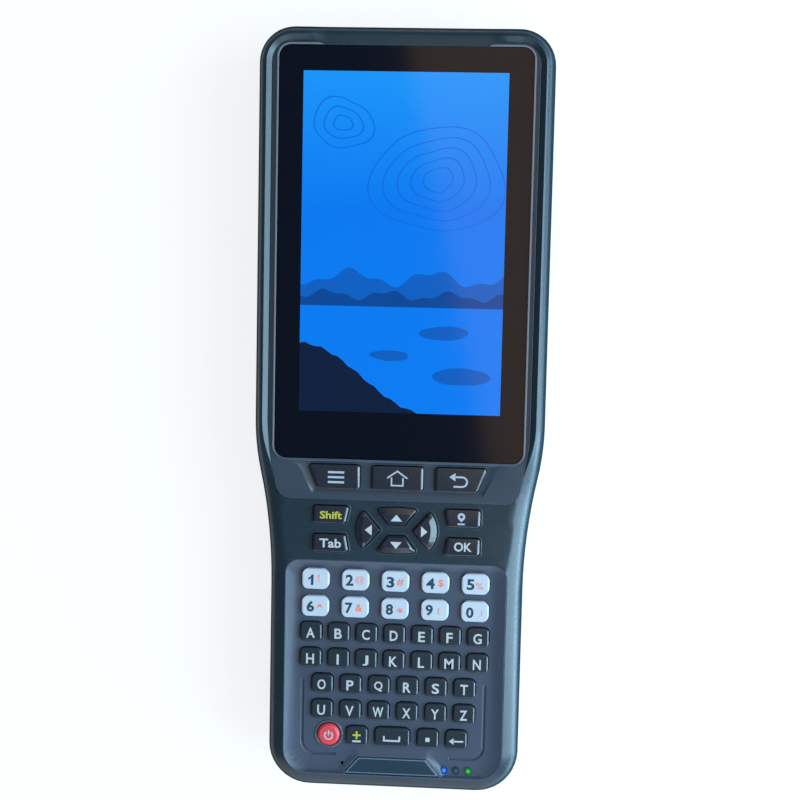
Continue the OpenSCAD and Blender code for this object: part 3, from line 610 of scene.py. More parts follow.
def skin_of(node: str, finish: Finishes, smooth: float = 32.0,
            eased: Triple | None = None) -> Piece:
    """Replaces a CAD node by a merged copy of itself with smooth round faces.

    Args:
        node: The CAD node.
        finish: The finish that the copy takes.
        smooth: The largest angle in degrees that still shades as one surface.
        eased: Upper height, lower height and width in mm of edges to round.

    Returns:
        The copy, riding on the node's body.
    """
    source = frame["nodes"][node]
    copy = bpy.data.objects.new(node + "_skin", source.data.copy())
    bpy.context.scene.collection.objects.link(copy)
    choose(copy)
    copy.data.materials.clear()
    bpy.ops.object.mode_set(mode="EDIT")
    bpy.ops.mesh.select_all(action="SELECT")
    bpy.ops.mesh.remove_doubles(threshold=SAME_POINT * MM)
    bpy.ops.object.mode_set(mode="OBJECT")
    bpy.ops.mesh.customdata_custom_splitnormals_clear()
    if eased:
        ease_edges(copy, *eased)
    bpy.ops.object.shade_smooth_by_angle(angle=math.radians(smooth))
    bpy.ops.object.modifier_add(type="WEIGHTED_NORMAL")
    copy.modifiers[-1].keep_sharp = True
    bpy.ops.object.modifier_apply(modifier=copy.modifiers[-1].name)
    finish_piece(copy, finish, source["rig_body"])
    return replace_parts(copy, node)


def dress_node(node: str, finish: Finishes) -> None:
    """Gives its material to a CAD node that stays as it is.

    Args:
        node: The CAD node.
        finish: The finish that it takes.
    """
    mesh = frame["nodes"][node].data
    mesh.materials.clear()
    mesh.materials.append(finish.material())


def join(name: str, parts: list[Piece]) -> Piece:
    """Joins parts to one named piece with all their materials.

    Args:
        name: The piece's name.
        parts: The meshes to join.

    Returns:
        The joined piece.
    """
    choose(parts[0])
    for part in parts[1:]:
        part.select_set(True)
    if len(parts) > 1:
        bpy.ops.object.join()
    parts[0].name = name
    return parts[0]


def settle(sheet: Piece, finish: Finishes) -> Piece:
    """Puts a sheet's place into its mesh and inks it.

    Args:
        sheet: The sheet, which is selected.
        finish: The ink.

    Returns:
        The same sheet.
    """
    bpy.ops.object.transform_apply(location=True, rotation=True, scale=True)
    sheet.data.materials.clear()
    sheet.data.materials.append(finish.material())
    return sheet


def flat_shape(name: str, loops: list[Loop], base: float, finish: Finishes,
               thickness: float = INK_THICKNESS) -> Piece:
    """Fills closed loops as a thin closed sheet; a loop inside another is a hole.

    Args:
        name: The piece's name.
        loops: Closed outlines in millimetres.
        base: Height of the underside in millimetres.
        finish: The finish that it takes.
        thickness: How thick the sheet is in millimetres.

    Returns:
        The sheet as a mesh at the origin.
    """
    curve = bpy.data.curves.new(name, "CURVE")
    curve.dimensions, curve.fill_mode, curve.extrude = "2D", "BOTH", thickness / 2 * MM
    for loop in loops:
        spline = curve.splines.new("POLY")
        spline.points.add(len(loop) - 1)
        for point, (x, y) in zip(spline.points, loop):
            point.co = (x * MM, y * MM, 0.0, 1.0)
        spline.use_cyclic_u = True
    sheet = bpy.data.objects.new(name, curve)
    bpy.context.scene.collection.objects.link(sheet)
    choose(sheet)
    bpy.ops.object.convert(target="MESH")
    sheet = bpy.context.object
    sheet.location.z = (base + thickness / 2) * MM
    return settle(sheet, finish)


def lettering(words: str, middle: Pair, size: Pair, base: float, finish: Finishes,
              weight: float = 0.08) -> Piece:
    """Sets generic lettering as a thin closed sheet.

    Args:
        words: The characters.
        middle: Centre of the lettering in millimetres.
        size: Width and height of what is drawn, in millimetres.
        base: Height of the underside in millimetres.
        finish: The ink.
        weight: How far each stroke is thickened, in millimetres.

    Returns:
        The lettering as a mesh at the origin.
    """
    deselect()
    bpy.ops.object.text_add(location=(0.0, 0.0, 0.0))
    text = bpy.context.object
    text.data.body = words
    text.data.size = size[1] / CAPITAL_SHARE * MM
    text.data.extrude = INK_THICKNESS / 2 * MM
    text.data.offset = weight * MM
    text.data.resolution_u = 3
    bpy.ops.object.convert(target="MESH")
    text = bpy.context.object
    text.name = "legend"
    across = [v.co.x for v in text.data.vertices]
    up = [v.co.y for v in text.data.vertices]
    grow = (size[0] * MM / (max(across) - min(across)), size[1] * MM / (max(up) - min(up)))
    text.scale = (grow[0], grow[1], 1.0)
    text.location = (middle[0] * MM - (min(across) + max(across)) / 2 * grow[0],
                     middle[1] * MM - (min(up) + max(up)) / 2 * grow[1],
                     (base + INK_THICKNESS / 2) * MM)
    return settle(text, finish)


def box_loop(low: Pair, high: Pair) -> Loop:
    """Gives the outline of an upright rectangle."""
    return [(low[0], low[1]), (high[0], low[1]), (high[0], high[1]), (low[0], high[1])]


def disc_loop(middle: Pair, radius: float, steps: int) -> Loop:
    """Gives the outline of a disc."""
    turn = 2 * math.pi / steps
    return [(middle[0] + radius * math.cos(i * turn), middle[1] + radius * math.sin(i * turn))
            for i in range(steps)]


def cross_loop(arm: float, half: float) -> Loop:
    """Gives the outline of a plus sign.

    Args:
        arm: How far its arms reach.
        half: Half their width.

    Returns:
        The closed outline.
    """
    loop = [(-half, -arm), (half, -arm), (half, -half)]
    # A corner turned by a quarter is the corner three places on.
    for i in range(9):
        loop.append((-loop[i][1], loop[i][0]))
    return loop


def rounded(corners: Loop, radius: float, steps: int = 5) -> Loop:
    """Rounds the corners of a closed loop.

    Args:
        corners: The corners in order.
        radius: How far from a corner its curve starts.
        steps: Points on each curve.

    Returns:
        The rounded loop.
    """
    loop: Loop = []
    for i, corner in enumerate(corners):
        here = Vector(corner)
        into = (Vector(corners[i - 1]) - here).normalized() * radius
        out = (Vector(corners[(i + 1) % len(corners)]) - here).normalized() * radius
        for k in range(steps + 1):
            t = k / steps
            point = here + into * (1 - t) ** 2 + out * t ** 2
            loop.append((point.x, point.y))
    return loop


def arc_points(middle: Pair, radius: float, start: float, end: float, steps: int) -> Loop:
    """Gives points along an arc between two angles in degrees."""
    angles = [math.radians(start + (end - start) * i / steps) for i in range(steps + 1)]
    return [(middle[0] + radius * math.cos(a), middle[1] + radius * math.sin(a))
            for a in angles]


def stroke_loop(line: Loop, width: float) -> Loop:
    """Gives the outline of an open stroke with mitred corners.

    Args:
        line: The middle of the stroke.
        width: The stroke's width.

    Returns:
        One closed loop, left side first.
    """
    left: Loop = []
    right: Loop = []
    for i, here in enumerate(line):
        before = line[max(i - 1, 0)]
        after = line[min(i + 1, len(line) - 1)]
        into = Vector((here[0] - before[0], here[1] - before[1]))
        out = Vector((after[0] - here[0], after[1] - here[1]))
        into = into.normalized() if into.length > 0 else out.normalized()
        out = out.normalized() if out.length > 0 else into
        along = (into + out).normalized()
        side = Vector((-along.y, along.x))
        reach = width / 2 / max(SHARPEST_MITRE, side.dot(Vector((-into.y, into.x))))
        left.append((here[0] + side.x * reach, here[1] + side.y * reach))
        right.append((here[0] - side.x * reach, here[1] - side.y * reach))
    return left + right[::-1]


@dataclass
class Housing:
    """The two lofted shell halves with their seal and screws."""

    smooth: float = 35.0

    def build(self) -> None:
        """Replaces the shells by smooth skins and dresses what holds them."""
        skin_of("front_housing", Finishes.SHELL, self.smooth)
        skin_of("rear_housing", Finishes.SHELL, self.smooth)
        dress_node("case_seal", Finishes.SEAL)
        skin_of("case_screws", Finishes.STEEL)


@dataclass
class Back:
    """The battery cover, its screws and the camera window."""

    def build(self) -> None:
        """Dresses the parts on the back."""
        skin_of("battery_cover", Finishes.TRIM)
        skin_of("cover_screws", Finishes.STEEL)
        skin_of("rear_camera", Finishes.CAMERA)


@dataclass
class Inside:
    """What the closed case hides."""

    def build(self) -> None:
        """Dresses the hidden parts."""
        for node, finish in (("main_board", Finishes.BOARD), ("battery_pack", Finishes.BATTERY),
                             ("display_module", Finishes.PANEL), ("keypad_mat", Finishes.MAT),
                             ("dome_switches", Finishes.STEEL)):
            dress_node(node, finish)


@dataclass
class Screen:
    """The cover glass with its rim and a generic lit picture of contours and hills, in mm."""

    left: float = LIT_WINDOW[0]
    right: float = LIT_WINDOW[1]
    foot: float = LIT_WINDOW[2]
    line: float = 0.35
    lift: float = 0.012
    margin: float = 0.2
    steps: int = 72
    wobble: float = 0.09
    harmonics: Pair = (0.6, 0.3)
    turn_back: float = 1.7
    flat: float = 0.9
    drift: float = 0.22
    rings: tuple[tuple[Pair, tuple[float, ...], float], ...] = (
        ((9.5, 66.0), (4.0, 7.0, 10.2, 13.6, 17.2), 0.6), ((-17.0, 81.0), (2.6, 5.2, 8.0), 2.1))
    shore: float = 31.0
    lowest: float = 0.1
    ridges: tuple[tuple[Finishes, float, tuple[Triple, ...]], ...] = (
        (Finishes.FAR_HILL, 8.0, ((1.9, 23.0, 3.0), (0.8, 9.0, 1.0))),
        (Finishes.MID_HILL, 3.2, ((1.1, 17.0, -8.0), (0.5, 7.0, 4.0))))
    ridge_steps: int = 64
    pools: tuple[tuple[Pair, float], ...] = (
        ((12.0, 24.0), 7.0), ((-3.0, 17.5), 5.5), ((17.0, 12.0), 8.5))
    pool_wobble: float = 0.05
    pool_flat: float = 0.3
    slope_high: float = 19.0
    slope_reach: float = 36.0
    slope_bump: float = 0.35
    slope_beat: float = 1.9
    slope_steps: int = 24

    def build(self) -> None:
        """Dresses the glass and its rim and lays the picture on them."""
        skin_of("touch_glass", Finishes.GLASS)
        skin_of("screen_bezel", Finishes.SCREEN_RIM)
        self.picture()

    def sheet(self, loops: list[Loop], layer: int, ink: Finishes) -> Piece:
        """Lays loops as a sheet of the picture, in a layer above the glass."""
        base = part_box("touch_glass")[1].z / MM + self.lift * layer
        return flat_shape("picture_sheet", loops, base, ink, self.lift)

    def ring(self, middle: Pair, radius: float, wobble: float, phase: float) -> Loop:
        """Gives one contour: a ring that wanders in and out.

        Args:
            middle: Its middle.
            radius: Its mean radius.
            wobble: How far it wanders, as a share of the radius.
            phase: How far its waves are turned, in radians.

        Returns:
            The closed outline, kept inside the lit window.
        """
        third, fifth = self.harmonics
        loop: Loop = []
        for i in range(self.steps):
            turn = 2 * math.pi * i / self.steps
            reach = radius * (1 + wobble * math.sin(2 * turn + phase)
                              + wobble * third * math.sin(3 * turn - self.turn_back * phase)
                              + wobble * fifth * math.cos(5 * turn + phase))
            x = middle[0] + reach * math.cos(turn)
            loop.append((min(max(x, self.left + self.margin), self.right - self.margin),
                         middle[1] + reach * math.sin(turn) * self.flat))
        return loop

    def ridge(self, rise: float, waves: tuple[Triple, ...]) -> Loop:
        """Gives a ridge of hills over the shore.

        Args:
            rise: Height of the waves' middle above the shore.
            waves: Waves as height, length and shift.

        Returns:
            The closed outline.
        """
        crest: Loop = []
        for i in range(self.ridge_steps + 1):
            x = self.left + (self.right - self.left) * i / self.ridge_steps
            y = self.shore + rise + sum(h * math.sin(2 * math.pi * (x - s) / w)
                                        for h, w, s in waves)
            crest.append((x, max(y, self.shore + self.lowest)))
        return [(self.right, self.shore), *crest[::-1], (self.left, self.shore)]

    def slope(self) -> Loop:
        """Gives a slope that falls from the window's left side to its foot.

        Returns:
            The closed outline.
        """
        crest: Loop = []
        for i in range(self.slope_steps):
            share = i / self.slope_steps
            fall = self.slope_high * (1 + math.cos(math.pi * share)) / 2
            bump = self.slope_bump * math.sin(self.slope_beat * i)
            crest.append((self.left + self.slope_reach * share, self.foot + fall + bump))
        return [(self.left, self.foot), (self.left + self.slope_reach, self.foot), *crest[::-1]]

    def picture(self) -> None:
        """Lays contour rings, two ridges, pools and a dark slope over the lit window."""
        parts = []
        for middle, radii, phase in self.rings:
            for i, radius in enumerate(radii):
                loops = [self.ring(middle, reach, self.wobble, phase + self.drift * i)
                         for reach in (radius, radius - self.line)]
                parts.append(self.sheet(loops, 0, Finishes.RING_INK))
        contours = join("picture_contours", parts)
        parts = [self.sheet([self.ridge(rise, waves)], layer, ink)
                 for layer, (ink, rise, waves) in enumerate(self.ridges)]
        for middle, radius in self.pools:
            pool = [(x, middle[1] + (y - middle[1]) * self.pool_flat)
                    for x, y in self.ring(middle, radius, self.pool_wobble, middle[0])]
            parts.append(self.sheet([pool], 1, Finishes.FAR_HILL))
        parts.append(self.sheet([self.slope()], 2, Finishes.NEAR_HILL))
        for piece in (contours, join("picture_hills", parts)):
            finish_piece(piece, Finishes.RING_INK, ROOT_BODY)


class Mark(Enum):
    """A plain icon that a key carries: sheets of loops in millimetres round its middle."""

    BARS = [[box_loop((-2.3, y - 0.3), (2.3, y + 0.3))] for y in (1.4, 0.0, -1.4)]
    HOUSE = [[stroke_loop([(-2.85, 0.05), (0.0, 2.05), (2.85, 0.05)], FINE_PEN)],
             [stroke_loop([(-1.6, 0.25), (-1.6, -2.0), (1.6, -2.0), (1.6, 0.25)], FINE_PEN)]]
    RETURN = [[stroke_loop([(-0.8, 1.05), (1.2, 1.05), *arc_points((1.2, -0.3), 1.35, 75, -90, 10),
                            (-1.2, -1.65)], PEN)],
              [[(-2.45, 1.05), (-0.7, -0.1), (-0.7, 2.2)]]]
    PIN = [[[(0.0, -0.85), *arc_points((0.0, 0.65), 1.05, -40, 220, 18)],
            disc_loop((0.0, 0.65), 0.42, 16)], [box_loop((-1.0, -1.65), (1.0, -1.2))]]
    UP = [[[(-1.62, -0.95), (1.62, -0.95), (0.0, 0.95)]]]
    DOWN = [[[(-1.62, 0.98), (0.0, -0.98), (1.62, 0.98)]]]
    LEFT = [[[(1.0, -1.5), (1.0, 1.5), (-1.0, 0.0)]]]
    RIGHT = [[[(-0.9, -1.55), (0.9, 0.0), (-0.9, 1.55)]]]
    POWER = [[stroke_loop(arc_points((0.0, -0.15), 1.12, 125, 415, 26), RING_PEN)],
             [box_loop((-0.2, -0.1), (0.2, 1.35))]]
    PLUS = [[cross_loop(1.15, 0.26)]]
    MINUS = [[box_loop((-1.2, -0.27), (1.2, 0.27))]]
    SPACE = [[stroke_loop([(-2.2, 0.8), (-2.2, -0.55), (2.2, -0.55), (2.2, 0.8)], PEN)]]
    DOT = [[box_loop((-0.6, -0.6), (0.6, 0.6))]]
    ERASE = [[box_loop((-0.9, -0.24), (2.05, 0.24))],
             [[(-2.05, 0.0), (-0.7, -0.95), (-0.7, 0.95)]]]

    def place(self, middle: Pair, base: float, ink: Finishes) -> list[Piece]:
        """Lays the icon's sheets on a key.

        Args:
            middle: The icon's middle in millimetres.
            base: Height of the key's top in millimetres.
            ink: The ink.

        Returns:
            The sheets.
        """
        return [flat_shape("icon", [[(x + middle[0], y + middle[1]) for x, y in loop]
                                    for loop in sheet], base, ink)
                for sheet in self.value]


@dataclass
class Key:
    """One key cap: its skin and the legend that it carries."""

    node: str
    finish: Finishes
    marks: list[tuple[Mark | str, Pair, Pair, Finishes]]
    weight: float = 0.08
    sign_weight: float = 0.03
    smooth: float = 40.0

    def top(self) -> Triple:
        """Gives the middle and the top of the key in millimetres."""
        low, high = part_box(self.node)
        return (low.x + high.x) / 2 / MM, (low.y + high.y) / 2 / MM, high.z / MM

    def build(self) -> None:
        """Replaces the CAD key by a smooth skin and prints its legend."""
        skin_of(self.node, self.finish, self.smooth)
        x, y, z = self.top()
        sheets: list[Piece] = []
        for what, (dx, dy), size, ink in self.marks:
            if isinstance(what, Mark):
                sheets += what.place((x + dx, y + dy), z, ink)
            elif what == "1":
                one = [(x + dx + u * size[0], y + dy + v * size[1]) for u, v in FIGURE_ONE]
                sheets.append(flat_shape("one", [one], z, ink))
            else:
                weight = self.weight
                if ink is Finishes.ORANGE_INK:
                    weight = FINE_SIGNS.get(what, self.sign_weight)
                sheets.append(lettering(what, (x + dx, y + dy), size, z, ink, weight))
        finish_piece(join(self.node + "_legend", sheets), self.marks[0][3], self.node)


@dataclass
class Deck:
    """The function keys, the Shift, Tab, place and OK keys and the cursor ring."""

    rolled: tuple[str, ...] = ("key_up", "key_down", "key_left", "key_right")
    rolled_smooth: float = 16.0

    def build(self) -> None:
        """Builds every deck key."""
        icon, words = Finishes.ICON_INK, Finishes.WHITE_INK
        own = (0.0, 0.0)
        keys = [
            ("key_menu", [(Mark.BARS, (0.45, -0.1), own, icon)]),
            ("key_home", [(Mark.HOUSE, (0.0, 0.05), own, icon)]),
            ("key_back", [(Mark.RETURN, (-0.7, -0.1), own, icon)]),
            ("key_shift", [("Shift", (0.05, -0.12), (6.2, 2.2), Finishes.YELLOW_INK)]),
            ("key_tab", [("Tab", (0.0, -0.05), (6.1, 2.55), words)]),
            ("key_locate", [(Mark.PIN, (-0.3, -0.1), own, icon)]),
            ("key_ok", [("OK", (0.3, 0.1), (4.95, 2.6), words)]),
            ("key_up", [(Mark.UP, (0.0, -0.35), own, words)]),
            ("key_down", [(Mark.DOWN, (0.0, -0.08), own, words)]),
            ("key_left", [(Mark.LEFT, (0.2, 0.02), own, words)]),
            ("key_right", [(Mark.RIGHT, (-0.15, 0.0), own, words)]),
        ]
        for node, marks in keys:
            smooth = self.rolled_smooth if node in self.rolled else Key.smooth
            Key(node, Finishes.DECK_KEY, marks, smooth=smooth).build()
            LOG.info("deck key %s", node)


@dataclass
class Keypad:
    """The keypad surround with its digit, letter and foot-row keys; sizes in mm."""

    letter: Pair = (2.25, 2.95)
    letter_at: Pair = (-0.12, -0.3)
    row_at: Pair = (-0.12, -0.22)
    digit_weight: float = 0.13
    letter_widths: tuple[tuple[str, float], ...] = (
        ("I", 0.62), ("J", 1.7), ("FL", 1.8), ("E", 1.9), ("P", 2.05), ("Z", 2.1), ("BST", 2.15),
        ("KVX", 2.35), ("GOQ", 2.4), ("A", 2.45), ("M", 2.6), ("W", 3.1))
    digits: tuple[tuple[str, Pair, Pair, str, Pair, Pair], ...] = (
        ("1", (-1.35, -0.3), (1.5, 3.0), "!", (0.9, 0.25), (0.42, 2.1)),
        ("2", (-1.65, -0.05), (2.2, 3.2), "@", (1.3, 0.0), (2.5, 2.4)),
        ("3", (-1.35, -0.25), (2.2, 3.1), "#", (1.45, -0.2), (1.9, 2.1)),
        ("4", (-1.35, -0.2), (2.4, 3.1), "$", (1.6, -0.1), (1.5, 2.3)),
        ("5", (-1.35, -0.1), (2.2, 3.1), "%", (1.1, -0.45), (2.1, 2.0)),
        ("6", (-1.35, -0.1), (2.1, 3.1), "^", (1.3, 0.1), (1.8, 1.0)),
        ("7", (-1.7, -0.2), (2.1, 3.1), "&", (1.15, -0.1), (1.9, 2.1)),
        ("8", (-1.5, -0.2), (2.1, 3.1), "*", (1.5, -0.45), (1.7, 1.6)),
        ("9", (-1.55, 0.0), (2.1, 3.1), "(", (1.15, -0.2), (0.65, 2.0)),
        ("0", (-1.4, -0.3), (2.1, 3.1), ")", (1.9, -0.4), (0.5, 1.7)))
    rows: tuple[tuple[str, str], ...] = (("keys_o_to_t", "OPQRST"), ("keys_u_to_z", "UVWXYZ"))
    key_w: float = 7.35
    tray_d: float = 1.2
    groove_d: float = 0.45
    eased_w: float = 0.26
    smooth: float = 48.0
    collar: Triple = (3.5, 4.1, 0.34)

    def build(self) -> None:
        """Builds the surround and all its keys."""
        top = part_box("keypad_panel")[1].z / MM - self.tray_d
        skin_of("keypad_panel", Finishes.TRIM, self.smooth,
                (top, top - self.groove_d, self.eased_w))
        self.power_collar(top)
        self.digit_keys()
        self.letter_keys()
        self.foot_row()

    def power_collar(self, floor: float) -> None:
        """Raises a low rounded collar round the power key.

        Args:
            floor: Height of the keypad's floor in mm.
        """
        low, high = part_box("key_power")
        inner, outer, height = self.collar
        bpy.ops.mesh.primitive_torus_add(
            location=((low.x + high.x) / 2, (low.y + high.y) / 2, floor * MM),
            major_segments=64, minor_segments=16, major_radius=(inner + outer) / 2 * MM,
            minor_radius=(outer - inner) / 2 * MM)
        ring = bpy.context.object
        ring.name = "power_key_collar"
        ring.scale.z = 2 * height / (outer - inner)
        bpy.ops.object.transform_apply(location=True, rotation=True, scale=True)
        bpy.ops.object.shade_smooth()
        finish_piece(ring, Finishes.COLLAR, ROOT_BODY)

    def letter_size(self, letter: str) -> Pair:
        """Gives the width and height of a capital."""
        wide = [width for letters, width in self.letter_widths if letter in letters]
        return (wide or self.letter)[0], self.letter[1]

    def digit_keys(self) -> None:
        """Builds the pale digit keys with their symbols."""
        for digit, at, size, sign, sign_at, sign_size in self.digits:
            marks = [(digit, at, size, Finishes.TEAL_INK),
                     (sign, sign_at, sign_size, Finishes.ORANGE_INK)]
            Key("key_" + digit, Finishes.PALE_KEY, marks, self.digit_weight).build()
        LOG.info("digit keys")

    def letter_keys(self) -> None:
        """Builds the letter keys: single ones and the two rows that move as one."""
        for letter in "ABCDEFGHIJKLMN":
            Key("key_" + letter.lower(), Finishes.DARK_KEY,
                [(letter, self.letter_at, self.letter_size(letter), Finishes.WHITE_INK)]).build()
        for node, letters in self.rows:
            skin_of(node, Finishes.DARK_KEY, Key.smooth)
            low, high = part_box(node)
            pitch = ((high.x - low.x) / MM - self.key_w) / (len(letters) - 1)
            first = low.x / MM + self.key_w / 2
            y = (low.y + high.y) / 2 / MM + self.row_at[1]
            sheets = [lettering(letter, (first + pitch * i + self.row_at[0], y),
                                self.letter_size(letter), high.z / MM, Finishes.WHITE_INK)
                      for i, letter in enumerate(letters)]
            finish_piece(join(node + "_legend", sheets), Finishes.WHITE_INK, node)
        LOG.info("letter keys")

    def foot_row(self) -> None:
        """Builds the power, sign, space, point and erase keys."""
        white, yellow, own = Finishes.WHITE_INK, Finishes.YELLOW_INK, (0.0, 0.0)
        keys = (
            ("key_power", [(Mark.POWER, (0.05, 0.0), own, white)]),
            ("key_plus_minus", [(Mark.PLUS, (0.0, 0.25), own, yellow),
                                (Mark.MINUS, (0.0, -1.55), own, white)]),
            ("key_space", [(Mark.SPACE, (-0.1, -0.45), own, white)]),
            ("key_point", [(Mark.DOT, (0.0, -0.25), own, white)]),
            ("key_erase", [(Mark.ERASE, (0.05, -0.4), own, white)]))
        for i, (node, marks) in enumerate(keys):
            Key(node, Finishes.DARK_KEY if i else Finishes.RED_KEY, marks).build()
        LOG.info("foot row keys")


@dataclass
class Foot:
    """The bare nameplate, the status lights and the port flap; sizes in mm."""

    # Inset, width and corner radius of the painted highlight round the nameplate.
    highlight_in: float = 0.32
    highlight_w: float = 0.26
    highlight_r: float = 0.3
    foot_half: float = 14.0
    top_half: float = 9.6
    lights: tuple[tuple[float, str, str, float], ...] = (
        (15.0, "#163a86", "#5a8fd6", 0.1), (18.45, "#26323d", "#4a5864", 0.0),
        (21.9, "#125a20", "#55b84e", 0.1))

    def build(self) -> None:
        """Dresses the parts at the foot."""
        skin_of("nameplate", Finishes.PLATE)
        self.paint_plate_highlight()
        skin_of("port_cover", Finishes.FLAP)
        pipes = skin_of("status_lights", Finishes.STEEL)
        self.light_pipes(pipes)

    def paint_plate_highlight(self) -> None:
        """Lays a thin pale ring round the bare nameplate as a painted highlight on its edge."""
        low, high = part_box("nameplate")
        foot, top = low.y / MM, high.y / MM
        run = (self.foot_half - self.top_half) / (top - foot)
        corners = []
        for inset in (self.highlight_in, self.highlight_in + self.highlight_w):
            side = inset * math.hypot(1.0, run)
            half = self.foot_half - inset * run - side
            shoulder = self.top_half + inset * run - side
            corners.append(rounded([(-half, foot + inset), (half, foot + inset),
                                    (shoulder, top - inset), (-shoulder, top - inset)],
                                   self.highlight_r))
        # The pale ring is a painted highlight on the nameplate's edge.
        rim = flat_shape("nameplate_highlight_ring", corners, high.z / MM, Finishes.RIM_INK)
        finish_piece(rim, Finishes.RIM_INK, ROOT_BODY)

    def light_pipes(self, pipes: Piece) -> None:
        """Gives each light pipe the colour of its lamp.

        Args:
            pipes: The copy of the three pipes.
        """
        pipes.data.materials.clear()
        low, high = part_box("status_lights")
        middle_y = (low.y + high.y) / 2 / MM
        for i, (x, colour, core, glow) in enumerate(self.lights):
            lens = Lens("acrylic_light_pipe_%d" % (i + 1), "light_pipe", colour, core, glow,
                        (x, middle_y))
            pipes.data.materials.append(lens.material())
        for face in pipes.data.polygons:
            face.material_index = min(range(len(self.lights)), key=lambda i: abs(
                face.center.x / MM - self.lights[i][0]))


@dataclass(frozen=True)
class SoftBox:
    """A soft box: its place and size in metres, its watts and its linear colour.

    One with a level turn hangs level, turned by so many degrees; the others face the
    object. Glossy surfaces show it only where it is mirrored.
    """

    name: str
    place: Triple
    size: Pair
    power: float
    colour: Triple
    level_turn: float | None = None
    mirrored: bool = True

    def hang(self) -> None:
        """Hangs the lamp."""
        deselect()
        bpy.ops.object.light_add(type="AREA", location=self.place)
        lamp = bpy.context.object
        lamp.name, lamp.data.shape = self.name, "RECTANGLE"
        lamp.data.size, lamp.data.size_y = self.size
        lamp.data.energy, lamp.data.color = self.power, self.colour
        if self.level_turn is None:
            toward = Vector(AIM) - Vector(self.place)
            lamp.rotation_euler = toward.to_track_quat("-Z", "Y").to_euler()
        else:
            lamp.rotation_euler = (0.0, 0.0, math.radians(self.level_turn))
        lamp.visible_camera, lamp.visible_glossy = False, self.mirrored


@dataclass(frozen=True)
class Card:
    """A card of black felt that only reflections see; one that glows gives light back.

    Its place and size are in metres, its turns about its length and its width in degrees.
    """

    name: str
    place: Triple
    size: Pair
    tilt: float = 0.0
    rise: float = 0.0
    glow: float = 0.0

    def hang(self) -> None:
        """Hangs the card."""
        deselect()
        bpy.ops.mesh.primitive_plane_add(size=1.0, location=self.place, rotation=(
            math.radians(self.rise), math.radians(self.tilt), 0.0))
        card = bpy.context.object
        card.name, card.scale = self.name, (*self.size, 1.0)
        material, add = new_material("felt_" + self.name)
        felt = add("BsdfPrincipled", {"Roughness": 1.0, "Specular IOR Level": 0.0,
                                      "Emission Strength": self.glow,
                                      "Emission Color": (*SKY_BLUE, 1.0)},
                   {"Base Color": clouded(add, "#101216", "#16191e", scale=8.0)})
        add("OutputMaterial", links={"Surface": felt})
        card.data.materials.append(material)
        card.visible_camera = card.visible_diffuse = card.visible_shadow = False


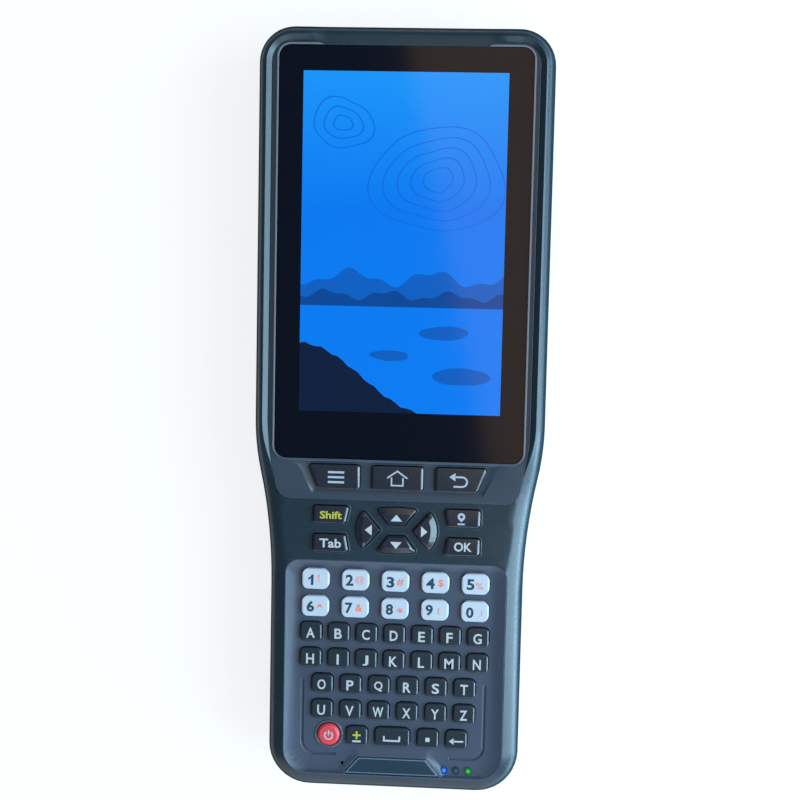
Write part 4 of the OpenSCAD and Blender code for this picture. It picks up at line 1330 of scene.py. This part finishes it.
@dataclass
class Studio:
    """A pale floor, soft boxes, cards and the camera over the handheld's face.

    The camera's place and lens are in mm and its turn is in degrees; the rest is in metres.
    """

    place: Triple = (26.625, 47.115, 443.457)
    turn: Triple = (-5.6827, 3.7641, 1.2262)
    lens: float = 67.5
    floor_radius: float = 1.1
    floor_drop: float = 0.0003
    floor_glow: float = 0.8
    ambience: float = 0.85
    hung: tuple[SoftBox | Card, ...] = (
        SoftBox("key_box", (0.72, -0.02, 0.49), (0.8, 0.94), 18.5, (0.49, 0.79, 1.0)),
        SoftBox("high_box", (0.1, -0.12, 0.8), (0.6, 0.6), 0.6, PALE_BLUE, mirrored=False),
        SoftBox("strip_box", (0.68, -0.36, 0.14), (0.5, 0.24), 4.6, SKY_BLUE),
        SoftBox("foot_box", (0.12, -0.44, 0.34), (0.3, 0.2), 0.25, PALE_BLUE),
        SoftBox("warm_card", (0.136, 0.094, 0.6), (0.3, 0.6), 0.4, (1.0, 0.64, 0.3), 12.4),
        Card("top_card", (-0.25, 0.0, 0.62), (1.3, 1.8)),
        Card("foot_card", (0.02, 0.0, 0.002), (0.2, 0.34)),
        Card("bounce_card", (0.5, -0.25, 0.004), (0.8, 1.3), 1.0, glow=5.0),
        Card("flank_card", (0.6, 0.22, 0.18), (0.16, 0.5), 90.0),
        Card("glass_card", (0.375, -0.3, 0.16), (0.45, 0.16), 0.0, 90.0),
        Card("side_card", (-0.9, 0.0, 0.31), (0.62, 1.8), 90.0),
        Card("far_card", (0.0, 0.9, 0.32), (2.0, 0.62), 0.0, 90.0))

    def build(self) -> None:
        """Builds the floor, the world, the lamps, the cards and the camera."""
        self.floor()
        self.world()
        for thing in self.hung:
            thing.hang()
        self.camera()

    def floor(self) -> None:
        """Lays a plain pale floor that is seen from above only."""
        deselect()
        bpy.ops.mesh.primitive_circle_add(vertices=128, radius=self.floor_radius,
                                          fill_type="NGON", location=(0, 0, -self.floor_drop))
        floor = bpy.context.object
        floor.name = "studio_floor"
        material, add = new_material("painted_studio_floor")
        paint = add("BsdfDiffuse", links={"Color": clouded(add, "#f4f5f6", "#eeeff1", scale=3.0)})
        bright = add("Emission", {"Color": (1, 1, 1, 1), "Strength": 1.0})
        # A fifth of the paint stays where the floor is seen, so that it keeps the shadow.
        share = add("Math", {"operation": "MULTIPLY", 1: self.floor_glow}, {0: seen_ray(add)})
        lit = add("MixShader", links={0: share, 1: paint, 2: bright})
        side = add("NewGeometry").outputs["Backfacing"]
        shown = add("MixShader", links={0: side, 1: lit, 2: add("BsdfTransparent")})
        add("OutputMaterial", links={"Surface": shown})
        floor.data.materials.append(material)

    def world(self) -> None:
        """Makes the world white where it is seen and a soft blue-grey where it lights."""
        world = bpy.data.worlds.new("studio_world")
        world.use_nodes = True
        bpy.context.scene.world = world
        world.node_tree.nodes.clear()
        add = partial(add_node, world.node_tree)
        soft = add("Background", {"Color": srgb("#c9d6e4"), "Strength": self.ambience})
        white = add("Background", {"Color": (1, 1, 1, 1), "Strength": 1.0})
        both = add("MixShader", links={0: seen_ray(add), 1: soft, 2: white})
        add("OutputWorld", links={"Surface": both})

    def camera(self) -> None:
        """Sets the camera over the handheld's face."""
        deselect()
        bpy.ops.object.camera_add(location=[v * MM for v in self.place],
                                  rotation=[math.radians(v) for v in self.turn])
        camera = bpy.context.object
        camera.data.lens, camera.data.sensor_width, camera.data.clip_start = self.lens, 36.0, 0.01
        bpy.context.scene.camera = camera
        bpy.context.scene.view_settings.view_transform = "Standard"


def main() -> None:
    """Builds the sub-assemblies in order and reports each."""
    logging.basicConfig(level=logging.INFO, format="%(name)s: %(message)s")
    for part in (Studio(), Housing(), Back(), Inside(), Screen(), Deck(), Keypad(), Foot()):
        part.build()
        LOG.info("%s done", type(part).__name__)


if __name__ == "__main__":
    main()
